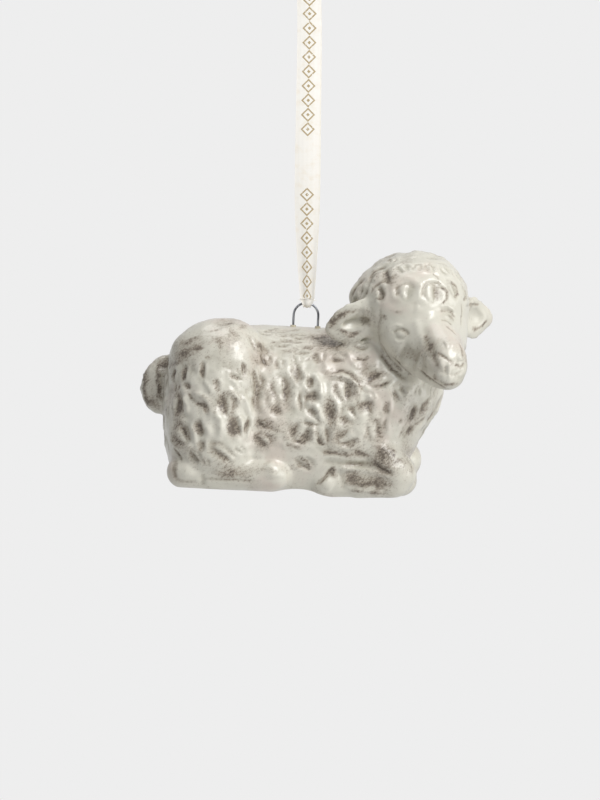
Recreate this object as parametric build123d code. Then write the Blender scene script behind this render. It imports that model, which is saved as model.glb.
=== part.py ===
from build123d import *
from math import asin, cos, degrees, radians, sin
import os

# A hollow ceramic sheep ornament: one slip-cast figure that lies with folded legs and looks to its
# side, a wire loop glued into its back, and a satin ribbon that runs through the loop to a knot.
#
# Frame: the origin is the hang point, the place under the ribbon's knot where a hook or twig carries
# the loop. X runs along the sheep towards its chest, Y away from the side with the turned face, Z up.
# The sheep is modelled standing on its flat underside, with x = 0 and z = 0 under its wire loop and
# y = 0 on the loop's plane. Then it is hung by the loop at the angle that its weight gives it.
# Every length is in millimetres.

# Hanging
hang_drop = 84.0                # hang point down to the middle of the wire at its crown
hang_tilt = 3.0                 # degrees that the nose end hangs low
overrun = 2.0                   # how far each cutting solid runs past the face that it cuts

# Wire loop
wire_diameter = 0.6
arch_radius = 3.2               # middle of the wire, half of the distance between the two legs
wire_free_leg = 2.9             # straight leg between the back and the arch
wire_inner_length = 1.6         # leg that stands free inside the hollow
wire_hole_diameter = 1.5        # drilled through the back for each leg
glue_clearance = 0.02           # between the glue and the wire, and between the glue and its hole
glue_bead_height = 0.25         # glue that stands proud of the back

# Casting
wall = 3.0
floor_thickness = 3.2
body_length = 72.4              # rump to breast
body_height = 43.2              # back above the underside, under the wire loop
body_width = 37.0
rump_x = -36.0                  # back end of the rump
rump_wall = 5.6                 # thicker, because the slip drains off the rump last
side_shift = 1.25               # the casting's middle plane lies this far behind the loop's plane
vent_diameter = 3.4             # lets the air out of the hollow when the figure is fired
vent_place_share = 0.36         # of the body length, from the rump
belly_arch_x = 1.5              # the belly is clear of the ground between the hind toes and the hooves
belly_arch_length = 15.0
belly_arch_rise = 1.2

# Trunk stations: place along the body as a share of its length, the middle's height and the half
# height as shares of the body height, and the half width as a share of the body width
trunk_station_shares = (
    (0.000, 0.545, 0.095, 0.12),
    (0.020, 0.515, 0.285, 0.29),
    (0.075, 0.465, 0.465, 0.41),
    (0.185, 0.440, 0.545, 0.485),
    (0.380, 0.430, 0.567, 0.50),
    (0.580, 0.440, 0.562, 0.482),
    (0.720, 0.480, 0.580, 0.455),
    (0.830, 0.575, 0.520, 0.415),
    (0.910, 0.670, 0.385, 0.350),
    (0.968, 0.720, 0.238, 0.245),
    (1.000, 0.730, 0.090, 0.095),
)

# The hollow: the same, for a slot with round ends, kept inside the trunk by the wall
hollow_station_shares = (
    (0.000, 0.50, 0.320, 0.27),
    (0.120, 0.46, 0.500, 0.42),
    (0.620, 0.46, 0.500, 0.40),
    (1.000, 0.66, 0.285, 0.245),
)

# The neck's hollow, from the trunk's up into the head: place along its axis, and half width as a
# share of the cap's diameter inside its walls
neck_hollow_x = 21.0
neck_hollow_z = 24.0
neck_hollow_shares = (
    (0.00, 0.33),
    (0.60, 0.43),
    (1.00, 0.45),
    (1.25, 0.25),
)

# Haunches, one on each side: height above the underside and half length as shares of the haunch's
# height and length, its middle's place as a share of the length, the half width as a share of the width
haunch_rise = 1.2               # top of each haunch above the back
haunch_length = 28.0
haunch_width = 27.2
haunch_x = -21.6
haunch_spread = 8.8             # middle of each haunch beside the middle plane
haunch_station_shares = (
    (-0.030, 0.000, 0.290, 0.30),
    (0.130, -0.005, 0.420, 0.42),
    (0.340, 0.000, 0.500, 0.50),
    (0.580, 0.010, 0.485, 0.490),
    (0.740, 0.010, 0.455, 0.455),
    (0.890, 0.020, 0.365, 0.35),
    (0.968, 0.030, 0.225, 0.21),
    (1.000, 0.035, 0.080, 0.075),
)

# Tail: the same, from its tip up to its root
tail_height = 15.6
tail_length = 9.8
tail_width = 10.0
tail_x = -37.2
tail_bottom = 18.4
tail_station_shares = (
    (0.015, 0.070, 0.190, 0.18),
    (0.260, 0.000, 0.460, 0.46),
    (0.560, 0.010, 0.500, 0.50),
    (0.850, 0.100, 0.370, 0.38),
    (1.000, 0.200, 0.160, 0.16),
)

# Head, turned to the side
head_turn = 67.0                # degrees from the body's own direction
head_x = 27.4
head_y = -4.0
head_rise = 6.4                 # head's middle above the back
head_roll = 4.5                 # degrees that the far ear stands higher
cap_diameter = 29.6             # wool cap over the skull

# Face stations: reach ahead of the head's middle and drop below it as shares of the face length,
# half width and half height as shares of the face width
face_length = 26.0
face_width = 26.0
face_station_shares = (
    (0.00, 0.090, 0.480, 0.425),
    (0.27, 0.190, 0.470, 0.460),
    (0.44, 0.305, 0.385, 0.425),
    (0.60, 0.435, 0.268, 0.352),
    (0.76, 0.520, 0.215, 0.292),
    (0.89, 0.562, 0.186, 0.236),
    (1.00, 0.592, 0.050, 0.065),
)

# Ears: place from root to tip and half width as shares of the ear's length and width, and the bulge
# of its back and of its open side as shares of its thickness
ear_length = 14.2
ear_width = 11.8
ear_thickness = 3.8
ear_station_shares = (
    (-0.45, 0.26, 0.46, 0.20),
    (-0.05, 0.37, 0.60, 0.26),
    (0.30, 0.48, 0.74, 0.30),
    (0.58, 0.50, 0.72, 0.28),
    (0.82, 0.38, 0.56, 0.22),
    (0.95, 0.20, 0.36, 0.14),
    (1.00, 0.07, 0.14, 0.06),
)
ear_rim = 1.7                   # left standing round the cup of the open side
ear_cup_depth = 1.9
ear_cup_share = 0.42            # middle of the cup along the ear
ear_cup_reach_share = 0.42      # half length of the cup
ear_sweep = 25.0                # degrees that each ear lies back
ear_droop = 12.0                # degrees that its tip hangs
ear_roll = 12.0                 # degrees that its open side turns down
ear_reach = 3.6                 # root ahead of the head's middle
ear_spread = 12.0               # root beside the head's middle
ear_drop = 1.8                  # root below the head's middle

# Limbs end round: distance from the tip and the radius there, as shares of the end's radius
limb_facets = 18
round_end_shares = (
    (1.00, 1.000),
    (0.65, 0.937),
    (0.34, 0.751),
    (0.12, 0.475),
    (0.02, 0.199),
)

# Feet
tread = 0.4                     # depth by which the ground plane flattens each foot
hind_foot_diameter = 9.4
hind_toe_diameter = 8.8
hind_heel_x = -29.2
hind_toe_x = -6.2
hind_toe_rise = 0.6             # the toe's end is a little clear of the ground
hind_foot_spread = 14.4

# Front legs, folded under the chest
elbow_x = 14.5
elbow_z = 17.5
knee_x = 25.4
knee_z = 6.3
shin_end_x = 16.3
hoof_x = 6.9
elbow_diameter = 12.4
knee_diameter = 10.8
shin_diameter = 9.0
hoof_diameter = 7.4
foreleg_spread = 11.6
elbow_spread = 8.4
shin_drop = 1.8                 # middle of the shin below the middle of the knee
far_knee_advance = 1.6          # the far knee stands ahead of the near one
far_knee_rise = 3.6

# Ribbon
ribbon_width = 6.0
ribbon_thickness = 0.3
ribbon_gap = 0.85               # inner face of the fold from the middle of the wire
bunched_width = 3.4             # the ribbon drawn together where it passes through the loop
bunch_length = 9.0              # over which it widens again
fold_side = 1.2                 # straight sides of the fold above the middle of the wire
knot_width = 8.0
knot_depth = 5.4
knot_height = 6.0
knot_edge = 1.6
tail_end_radius = 3.4           # bend of each cut end where it leaves the knot
tail_end_drop = 4.0             # straight run of each cut end below its bend

haunch_height = body_height + haunch_rise
head_middle = body_height + head_rise
crown_height = body_height + wire_free_leg + arch_radius
arch_centre_z = -hang_drop - arch_radius
hung = (Location((0, 0, arch_centre_z)) * Location((0, 0, 0), (0, hang_tilt, 0))
        * Location((0, 0, arch_radius - crown_height)))
head_place = Location((head_x, head_y, head_middle), (0, 0, -head_turn)) * Rot(head_roll, 0, 0)
sides = (-1, 1)                 # near side and far side


def loft_along_x(stations):
    """A loft through upright ellipses given by x, middle height, half width and half height."""
    sections = []
    for x, middle, half_width, half_height in stations:
        plane = Plane(origin=(x, 0, middle), x_dir=(0, 1, 0), z_dir=(1, 0, 0))
        sections.append(plane * Ellipse(half_width, half_height))
    return loft(sections)


def loft_along_z(place, height, length, width, station_shares):
    """A loft through level ellipses, from the bottom station to the top one."""
    sections = []
    for z_share, x_share, length_share, width_share in station_shares:
        x, y, z = place
        plane = Plane(origin=(x + x_share * length, y, z + z_share * height))
        sections.append(plane * Ellipse(length_share * length, width_share * width))
    return loft(sections)


def limb(start, end, start_diameter, end_diameter, rooted=True):
    """A tapered limb: cut off flat where it is rooted in the body, or round there as at its end."""
    axis = Vector(*end) - Vector(*start)
    start_radius = start_diameter / 2
    end_radius = end_diameter / 2
    stations = [(0, start_radius)]
    if not rooted:
        stations = [((back_share - 1) * start_radius, radius_share * start_radius)
                    for back_share, radius_share in reversed(round_end_shares)]
    for back_share, radius_share in round_end_shares:
        stations.append((axis.length + (1 - back_share) * end_radius, radius_share * end_radius))
    along = Plane(origin=start, z_dir=axis)
    rings = [along.offset(reach) * RegularPolygon(size, limb_facets) for reach, size in stations]
    return loft(rings, ruled=True)


def trunk():
    """The barrel of the body, from the rump to the full breast that the head stands on."""
    stations = []
    for x_share, middle_share, height_share, width_share in trunk_station_shares:
        stations.append((
            rump_x + x_share * body_length,
            middle_share * body_height,
            width_share * body_width,
            height_share * body_height,
        ))
    return Pos(0, side_shift, 0) * loft_along_x(stations)


def hollow():
    """The space that the drained slip leaves: a tapering slot with round top and bottom."""
    sections = []
    for x_share, middle_share, height_share, width_share in hollow_station_shares:
        x = rump_x + rump_wall + x_share * (body_length - rump_wall - 2 * wall)
        half_width = width_share * (body_width - wall)
        top = middle_share * body_height + height_share * (body_height - wall)
        bottom = middle_share * body_height - height_share * (body_height - wall)
        middle = Plane(origin=(x, side_shift, (top + bottom) / 2), x_dir=(0, 0, 1), z_dir=(1, 0, 0))
        sections.append(middle * SlotOverall(top - bottom, 2 * half_width))
    return loft(sections, ruled=True)


def haunch(side):
    """One hip and thigh, down to the underside."""
    place = (haunch_x, side_shift + side * haunch_spread, 0)
    return loft_along_z(place, haunch_height, haunch_length, haunch_width, haunch_station_shares)


def tail():
    """The short tail, rooted in the rump."""
    place = (tail_x, side_shift, tail_bottom)
    return loft_along_z(place, tail_height, tail_length, tail_width, tail_station_shares)


def wool_cap():
    return head_place * Sphere(cap_diameter / 2)


def hind_foot(side):
    y = side_shift + side * hind_foot_spread
    heel = (hind_heel_x, y, hind_foot_diameter / 2 - tread)
    toe = (hind_toe_x, y, hind_toe_diameter / 2 - tread + hind_toe_rise)
    return limb(heel, toe, hind_foot_diameter, hind_toe_diameter, rooted=False)


def front_leg(side):
    """Upper leg down to the knee, and the shin and hoof folded back along the underside."""
    y = side_shift + side * foreleg_spread
    advance = far_knee_advance if side > 0 else 0
    rise = far_knee_rise if side > 0 else 0
    knee = (knee_x + advance, y, knee_z + rise)
    shin_start = (knee_x + advance, y, knee_z - shin_drop)
    shin_end = (shin_end_x, y, shin_diameter / 2 - tread)
    hoof_end = (hoof_x, y, hoof_diameter / 2 - tread)
    elbow = (elbow_x, side_shift + side * elbow_spread, elbow_z)
    upper = limb(elbow, knee, elbow_diameter, knee_diameter)
    shin = limb(shin_start, shin_end, shin_diameter, shin_diameter, rooted=False)
    hoof = limb(shin_end, hoof_end, hoof_diameter, hoof_diameter)
    return upper + shin + hoof


def face():
    """Forehead, cheeks and muzzle from the skull out to the nose."""
    stations = []
    for reach_share, drop_share, width_share, height_share in face_station_shares:
        stations.append((
            reach_share * face_length,
            -drop_share * face_length,
            width_share * face_width,
            height_share * face_width,
        ))
    return head_place * loft_along_x(stations)


def spheroid(length, diameter):
    """A rounded mass turned about X, longer or shorter than a ball."""
    half = Ellipse(length / 2, diameter / 2) & Pos(0, diameter / 2) * Rectangle(length, diameter)
    return revolve(half, Axis.X)


def ear(side):
    """A thick leaf-shaped ear with a cup in its open side, from its root in the head to its tip."""
    sections = []
    for reach_share, width_share, back_share, front_share in ear_station_shares:
        half = width_share * ear_width
        back = (0, side * back_share * ear_thickness)
        front = (0, -side * front_share * ear_thickness)
        outline = [ThreePointArc((-half, 0), back, (half, 0)), ThreePointArc((half, 0), front, (-half, 0))]
        across = Plane(origin=(reach_share * ear_length, 0, 0), x_dir=(0, 0, -1), z_dir=(1, 0, 0))
        sections.append(across * make_face(outline))
    cup_diameter = ear_width - ear_rim
    fullest_share = max(front_share for *_, front_share in ear_station_shares)
    cup_out = cup_diameter / 2 - ear_cup_depth + fullest_share * ear_thickness
    cup = Pos(ear_cup_share * ear_length, -side * cup_out, 0) * spheroid(
        2 * ear_cup_reach_share * ear_length, cup_diameter)
    leaf = loft(sections) - cup
    root = Location((ear_reach, side * ear_spread, -ear_drop), (0, 0, side * (90 + ear_sweep)))
    return head_place * root * Rot(0, ear_droop, 0) * Rot(side * ear_roll, 0, 0) * leaf


def drilled_hole(x, z_low, z_high, diameter):
    return Pos(x, 0, (z_low + z_high) / 2) * Cylinder(diameter / 2, z_high - z_low)


def neck_hollow():
    """The hollow that leads from the trunk up into the head."""
    start = Vector(neck_hollow_x, side_shift, neck_hollow_z)
    axis = Vector(head_x, head_y, head_middle) - start
    along = Plane(origin=start, z_dir=axis)
    inside = cap_diameter - 2 * wall
    return loft([along.offset(reach_share * axis.length) * Circle(radius_share * inside)
                 for reach_share, radius_share in neck_hollow_shares], ruled=True)


def belly_arch():
    """The shallow arch under the belly, as a cylinder that lies across it."""
    half = belly_arch_length / 2
    radius = (half ** 2 + belly_arch_rise ** 2) / (2 * belly_arch_rise)
    return Pos(belly_arch_x, side_shift, belly_arch_rise - radius) * Rot(90, 0, 0) * Cylinder(
        radius, body_width + 2 * overrun)


def casting():
    """The hollow figure, standing on its underside."""
    masses = [trunk(), wool_cap(), face(), tail()]
    for side in sides:
        masses += [haunch(side), hind_foot(side), front_leg(side), ear(side)]
    reach = 2 * (body_length + body_height)
    below_underside = Pos(0, 0, -reach / 2) * Box(reach, reach, reach)
    below_floor = Pos(0, 0, floor_thickness) * below_underside
    figure = masses[0].fuse(*masses[1:]) - below_underside - belly_arch()
    figure = figure - (hollow() - below_floor) - neck_hollow()
    vent_x = rump_x + vent_place_share * body_length
    figure = figure - Pos(0, side_shift, 0) * drilled_hole(
        vent_x, -overrun, floor_thickness + overrun, vent_diameter)
    for side in sides:
        figure = figure - drilled_hole(
            side * arch_radius, body_height - wall - overrun, body_height + overrun, wire_hole_diameter)
    return figure


def wire_loop():
    """Steel wire bent to an arch, its two legs down through the back into the hollow."""
    arch_centre_height = crown_height - arch_radius
    leg_bottom = body_height - wall - wire_inner_length
    leg_length = arch_centre_height - leg_bottom
    section = Pos(arch_radius, 0, 0) * Circle(wire_diameter / 2)
    wire = Pos(0, 0, arch_centre_height) * revolve(section, Axis.Y, -180)
    for side in sides:
        leg = Cylinder(wire_diameter / 2, leg_length)
        wire = wire + Pos(side * arch_radius, 0, leg_bottom + leg_length / 2) * leg
    return wire


def glue_plugs():
    """A sleeve of glue round each leg, in its hole and a little proud of the back."""
    plugs = []
    height = wall + glue_bead_height
    for side in sides:
        outer = Cylinder(wire_hole_diameter / 2 - glue_clearance, height)
        bore = Cylinder(wire_diameter / 2 + glue_clearance, height + overrun)
        plugs.append(Pos(side * arch_radius, 0, body_height - wall + height / 2) * (outer - bore))
    return Compound(plugs)


def fold_top_radius():
    return arch_radius + fold_side


def ribbon_fold():
    """The ribbon where it passes under the crown of the wire: a U turned round the arch's middle."""
    inner = ribbon_gap
    outer = ribbon_gap + ribbon_thickness
    ring = Circle(outer) - Circle(inner)
    lower_half = Pos(0, -outer, 0) * Rectangle(2 * outer, 2 * outer)
    section = ring & lower_half
    for side in sides:
        strip = Rectangle(ribbon_thickness, fold_side)
        section = section + Pos(side * (inner + ribbon_thickness / 2), fold_side / 2, 0) * strip
    spread = degrees(asin(bunched_width / 2 / fold_top_radius()))
    upright = Plane(origin=(0, 0, arch_radius), x_dir=(0, 1, 0), z_dir=(1, 0, 0))
    face_up = upright * section
    start = face_up.rotate(Axis.Y, -spread)
    return Pos(0, 0, arch_centre_z) * revolve(start, Axis.Y, 2 * spread)


def ribbon_strand(side):
    """One straight strand from the fold up to the knot, drawn together above the wire."""
    bottom = arch_centre_z
    widened = arch_centre_z + fold_top_radius() + bunch_length
    outline = Polyline(
        (-bunched_width / 2, bottom),
        (bunched_width / 2, bottom),
        (bunched_width / 2, arch_centre_z + fold_top_radius()),
        (ribbon_width / 2, widened),
        (ribbon_width / 2, 0),
        (-ribbon_width / 2, 0),
        (-ribbon_width / 2, widened),
        (-bunched_width / 2, arch_centre_z + fold_top_radius()),
        close=True,
    )
    middle = side * (ribbon_gap + ribbon_thickness / 2)
    band = extrude(Plane(origin=(0, middle, 0), x_dir=(1, 0, 0), z_dir=(0, -1, 0)) * make_face(outline),
                   ribbon_thickness / 2, both=True)
    core = Pos(0, 0, arch_centre_z) * Rot(90, 0, 0) * Cylinder(fold_top_radius(), hang_drop)
    return band - core


def ribbon_knot():
    """The tight knot that joins the two strands over the hang point."""
    block = Pos(0, 0, knot_height / 2) * Box(knot_width, knot_depth, knot_height)
    upright = block.edges().filter_by(Axis.Z)
    block = fillet(upright, knot_edge)
    return fillet(block.edges().group_by(Axis.Z)[-1], knot_edge)


def ribbon_ends():
    """The two cut ends, out of the top of the knot and bent down on either side of it."""
    ends = []
    inner = tail_end_radius - ribbon_thickness / 2
    outer = tail_end_radius + ribbon_thickness / 2
    for side in sides:
        ring = Circle(outer) - Circle(inner)
        upper_half = Pos(0, outer, 0) * Rectangle(2 * outer, 2 * outer)
        drop = Pos(side * tail_end_radius, -tail_end_drop / 2, 0) * Rectangle(ribbon_thickness, tail_end_drop)
        section = (ring & upper_half) + drop
        start = Plane(origin=(0, side * (tail_end_radius + ribbon_thickness / 2), knot_height),
                      x_dir=(0, 1, 0), z_dir=(1, 0, 0))
        ends.append(extrude(start * section, ribbon_width / 2, both=True))
    return Compound(ends)


def build():
    """Every piece by its name, in its place in the hung ornament."""
    return {
        "sheep_body": hung * casting(),
        "hanger_wire": hung * wire_loop(),
        "glue_plugs": hung * glue_plugs(),
        "ribbon_fold": ribbon_fold(),
        "ribbon_front": ribbon_strand(-1),
        "ribbon_back": ribbon_strand(1),
        "ribbon_knot": ribbon_knot(),
        "ribbon_ends": ribbon_ends(),
    }


def report_places():
    """Print the places that the record states, in metres."""
    face_point = hung * Location((knee_x / 2, side_shift, 0))
    turn = radians(hang_tilt)
    print("underside point", [round(v / 1000, 6) for v in face_point.position],
          "normal", [round(v, 6) for v in (-sin(turn), 0, -cos(turn))])
    print("crown z", -hang_drop / 1000, "arch centre z", arch_centre_z / 1000)
    print("ribbon strand length", hang_drop - fold_side)


if __name__ == "__main__":
    os.makedirs("parts", exist_ok=True)
    report_places()
    for name, shape in build().items():
        export_step(shape, "parts/" + name + ".step")
        centre = shape.center(CenterOf.MASS)
        print(f"{name}: {len(shape.solids())} solids, {shape.volume:.1f} mm3, "
              f"centre {centre.X:.2f} {centre.Y:.2f} {centre.Z:.2f}")
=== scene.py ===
"""Looks of the hanging sheep ornament: a glazed ceramic figure on a wire loop and a satin ribbon.

Lengths are in metres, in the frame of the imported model: the origin is the hang point under the
ribbon's knot, X runs along the sheep towards its chest, Y away from the viewer and Z up.
"""

import logging
import math
import random
from collections.abc import Callable, Sequence
from dataclasses import dataclass, field
from enum import Enum

import bmesh
import bpy
import numpy as np
from mathutils import Matrix, Vector, noise
from mathutils.bvhtree import BVHTree


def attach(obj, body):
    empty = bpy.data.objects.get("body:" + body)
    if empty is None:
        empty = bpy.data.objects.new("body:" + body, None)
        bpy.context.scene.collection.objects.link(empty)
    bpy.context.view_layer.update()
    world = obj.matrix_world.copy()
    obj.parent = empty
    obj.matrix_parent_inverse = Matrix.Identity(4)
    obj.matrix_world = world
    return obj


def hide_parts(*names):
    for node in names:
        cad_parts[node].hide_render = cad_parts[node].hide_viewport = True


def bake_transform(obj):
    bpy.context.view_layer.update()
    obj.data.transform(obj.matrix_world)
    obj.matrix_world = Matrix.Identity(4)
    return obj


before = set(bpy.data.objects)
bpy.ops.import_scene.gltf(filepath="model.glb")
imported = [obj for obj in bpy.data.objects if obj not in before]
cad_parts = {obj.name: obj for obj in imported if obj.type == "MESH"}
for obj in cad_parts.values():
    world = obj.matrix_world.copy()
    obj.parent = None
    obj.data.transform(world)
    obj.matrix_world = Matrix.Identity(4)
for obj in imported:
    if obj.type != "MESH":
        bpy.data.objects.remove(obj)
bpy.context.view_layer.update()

MM = 0.001
Colour = tuple[float, float, float, float]
Range = tuple[float, float]

# Places that the construction gives
CROWN = Vector((0.0, 0.0, -84.0 * MM))          # middle of the wire at the top of its arch
ARCH_RADIUS = 3.2 * MM
ARCH_MIDDLE = CROWN - Vector((0.0, 0.0, ARCH_RADIUS))
ARCH_HEIGHT = 46.1 * MM                         # arch's middle above the sheep's underside
HANG_TILT = math.radians(3.0)
SIDE_SHIFT = 1.25 * MM                          # sheep's middle plane behind the wire's
STANDING = (Matrix.Translation(ARCH_MIDDLE) @ Matrix.Rotation(HANG_TILT, 4, "Y")
            @ Matrix.Translation((0.0, 0.0, -ARCH_HEIGHT)))
HEAD = (STANDING @ Matrix.Translation((27.4 * MM, -4.0 * MM, 49.6 * MM))
        @ Matrix.Rotation(math.radians(-67.0), 4, "Z") @ Matrix.Rotation(math.radians(4.5), 4, "X"))

log = logging.getLogger("sheep")


class Side(Enum):
    """The two sides of the ribbon loop and of the sheep."""

    NEAR = -1
    FAR = 1


class Body(Enum):
    """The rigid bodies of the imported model."""

    RIBBON = "ribbon"
    FOLD = "fold"
    SHEEP = "sheep"


class Slot(Enum):
    """Material slot names for the pieces that are made anew; the script does not give them to any piece."""

    CERAMIC = "glazed_ceramic"
    SATIN = "satin_ribbon"


def tone(red: float, green: float, blue: float) -> Colour:
    """A colour as the shaders take it.

    Args:
        red: Red on the scale of 0 to 255 that a screen uses.
        green: Green on the same scale.
        blue: Blue on the same scale.

    Returns:
        The linear colour with full alpha.
    """
    linear = [((c / 255 + 0.055) / 1.055) ** 2.4 for c in (red, green, blue)]
    return (linear[0], linear[1], linear[2], 1.0)


def smooth_step(low: float, high: float, values: np.ndarray) -> np.ndarray:
    """Ramp softly from 0 to 1.

    Args:
        low: Where the ramp is 0; it may lie above the other end.
        high: Where it is 1.
        values: Where to read it.

    Returns:
        The ramp at each value.
    """
    share = np.clip((values - low) / (high - low), 0, 1)
    return share * share * (3 - 2 * share)


def stand(name: str, mesh: bpy.types.Mesh) -> bpy.types.Object:
    """Put a mesh in the scene, as an object at the origin.

    Args:
        name: The object's name.
        mesh: Its mesh.

    Returns:
        The new object.
    """
    obj = bpy.data.objects.new(name, mesh)
    bpy.context.scene.collection.objects.link(obj)
    return obj


def keep(bm: bmesh.types.BMesh, mesh: bpy.types.Mesh) -> bpy.types.Mesh:
    """Write a shape on a mesh and let go of it.

    Args:
        bm: The shape.
        mesh: The mesh that keeps it.

    Returns:
        The same mesh.
    """
    bm.to_mesh(mesh)
    bm.free()
    mesh.update()
    return mesh


def even_out(bm: bmesh.types.BMesh) -> None:
    """Move each point of a shape half the way towards the middle of its neighbours."""
    bmesh.ops.smooth_vert(bm, verts=bm.verts, factor=0.5, use_axis_x=True, use_axis_y=True,
                          use_axis_z=True)


class NodeDesk:
    """A node tree and the few moves that build it."""

    mix_terms = (6, 7)                          # the colour sockets of a Mix node
    mix_result = 2

    def __init__(self, tree: bpy.types.NodeTree) -> None:
        """Start on an emptied tree.

        Args:
            tree: The tree, whose nodes are cleared.
        """
        self.tree = tree
        tree.nodes.clear()

    def add(self, kind: str, values: dict[str, object] | None = None,
            **settings: object) -> bpy.types.Node:
        """Add a node.

        Args:
            kind: The node's type name.
            values: Constants for its input sockets, by name.
            settings: The node's own properties.

        Returns:
            The new node.
        """
        node = self.tree.nodes.new(kind)
        for name, value in settings.items():
            setattr(node, name, value)
        for key, value in (values or {}).items():
            node.inputs[key].default_value = value
        return node

    def link(self, source: bpy.types.NodeSocket, target: bpy.types.NodeSocket) -> None:
        """Join an output socket to an input socket."""
        self.tree.links.new(source, target)

    def feed(self, target: bpy.types.NodeSocket, term: object) -> None:
        """Give an input socket its term.

        Args:
            target: The input socket.
            term: Another node's socket, or a constant.
        """
        if isinstance(term, bpy.types.NodeSocket):
            self.link(term, target)
        else:
            target.default_value = term

    def math(self, operation: str, first: object, second: object = 0.0) -> bpy.types.NodeSocket:
        """Add a sum of one or two terms, each a socket or a number.

        Args:
            operation: The Math node's operation.
            first: First term.
            second: Second term.

        Returns:
            The socket that holds the result.
        """
        node = self.add("ShaderNodeMath", operation=operation)
        self.feed(node.inputs[0], first)
        self.feed(node.inputs[1], second)
        return node.outputs[0]

    def ramp(self, value: bpy.types.NodeSocket, low: float, high: float,
             to_low: float = 0.0, to_high: float = 1.0) -> bpy.types.NodeSocket:
        """Map a value softly from one range to another.

        Args:
            value: The socket to map.
            low: Value that gives to_low.
            high: Value that gives to_high.
            to_low: Result at low.
            to_high: Result at high.

        Returns:
            The mapped value's socket.
        """
        node = self.add("ShaderNodeMapRange", interpolation_type="SMOOTHSTEP", values={
            "From Min": low, "From Max": high, "To Min": to_low, "To Max": to_high})
        self.link(value, node.inputs["Value"])
        return node.outputs["Result"]

    def mix(self, share: bpy.types.NodeSocket, first: object, second: object) -> bpy.types.NodeSocket:
        """Mix two colours, each a socket or a colour.

        Args:
            share: How much of the second one.
            first: The first colour.
            second: The second colour.

        Returns:
            The mixed colour's socket.
        """
        node = self.add("ShaderNodeMix", data_type="RGBA")
        self.link(share, node.inputs[0])
        for number, term in zip(self.mix_terms, (first, second)):
            self.feed(node.inputs[number], term)
        return node.outputs[self.mix_result]


class GroupDesk(NodeDesk):
    """The tree of a new shader node group that several materials use."""

    def __init__(self, name: str, inputs: dict[str, str], outputs: Sequence[str]) -> None:
        """Make the group with its sockets.

        Args:
            name: The group's name.
            inputs: Names of its input sockets, with Vector or Float for each.
            outputs: Names of the values that it puts out.
        """
        tree = bpy.data.node_groups.new(name, "ShaderNodeTree")
        for socket, kind in inputs.items():
            tree.interface.new_socket(socket, in_out="INPUT", socket_type="NodeSocket" + kind)
        for socket in outputs:
            tree.interface.new_socket(socket, in_out="OUTPUT", socket_type="NodeSocketFloat")
        super().__init__(tree)
        self.start = self.add("NodeGroupInput")
        self.end = self.add("NodeGroupOutput")


class FinishDesk(NodeDesk):
    """The tree of a new material, with its surface shader."""

    def __init__(self, name: str, values: dict[str, object]) -> None:
        """Make the material.

        Args:
            name: The material's name.
            values: Constants of its shader.
        """
        self.material = bpy.data.materials.new(name)
        self.material.use_nodes = True
        super().__init__(self.material.node_tree)
        self.shader = self.add("ShaderNodeBsdfPrincipled", values)
        end = self.add("ShaderNodeOutputMaterial")
        self.link(self.shader.outputs["BSDF"], end.inputs["Surface"])

    def place(self) -> bpy.types.NodeSocket:
        """The place on the piece, in metres."""
        return self.add("ShaderNodeTexCoord").outputs["Object"]

    def turned(self, place: bpy.types.NodeSocket, kind: str,
               values: dict[str, object]) -> bpy.types.NodeSocket:
        """Turn or stretch a pattern.

        Args:
            place: The place on the piece.
            kind: The Mapping node's vector type.
            values: Its rotation and scale.

        Returns:
            The turned place's socket.
        """
        node = self.add("ShaderNodeMapping", values, vector_type=kind)
        self.link(place, node.inputs["Vector"])
        return node.outputs["Vector"]

    def surface(self, colour: bpy.types.NodeSocket, roughness: bpy.types.NodeSocket) -> None:
        """Give the shader its colour and its roughness.

        Args:
            colour: The colour.
            roughness: The roughness.
        """
        self.link(colour, self.shader.inputs["Base Color"])
        self.link(roughness, self.shader.inputs["Roughness"])

    def bump(self, height: bpy.types.NodeSocket, strength: float, depth: float) -> None:
        """Give the shader its fine relief.

        Args:
            height: The relief.
            strength: How much of it shows.
            depth: Height of a step from 0 to 1.
        """
        node = self.add("ShaderNodeBump", {"Strength": strength, "Distance": depth})
        self.link(height, node.inputs["Height"])
        self.link(node.outputs["Normal"], self.shader.inputs["Normal"])


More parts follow.
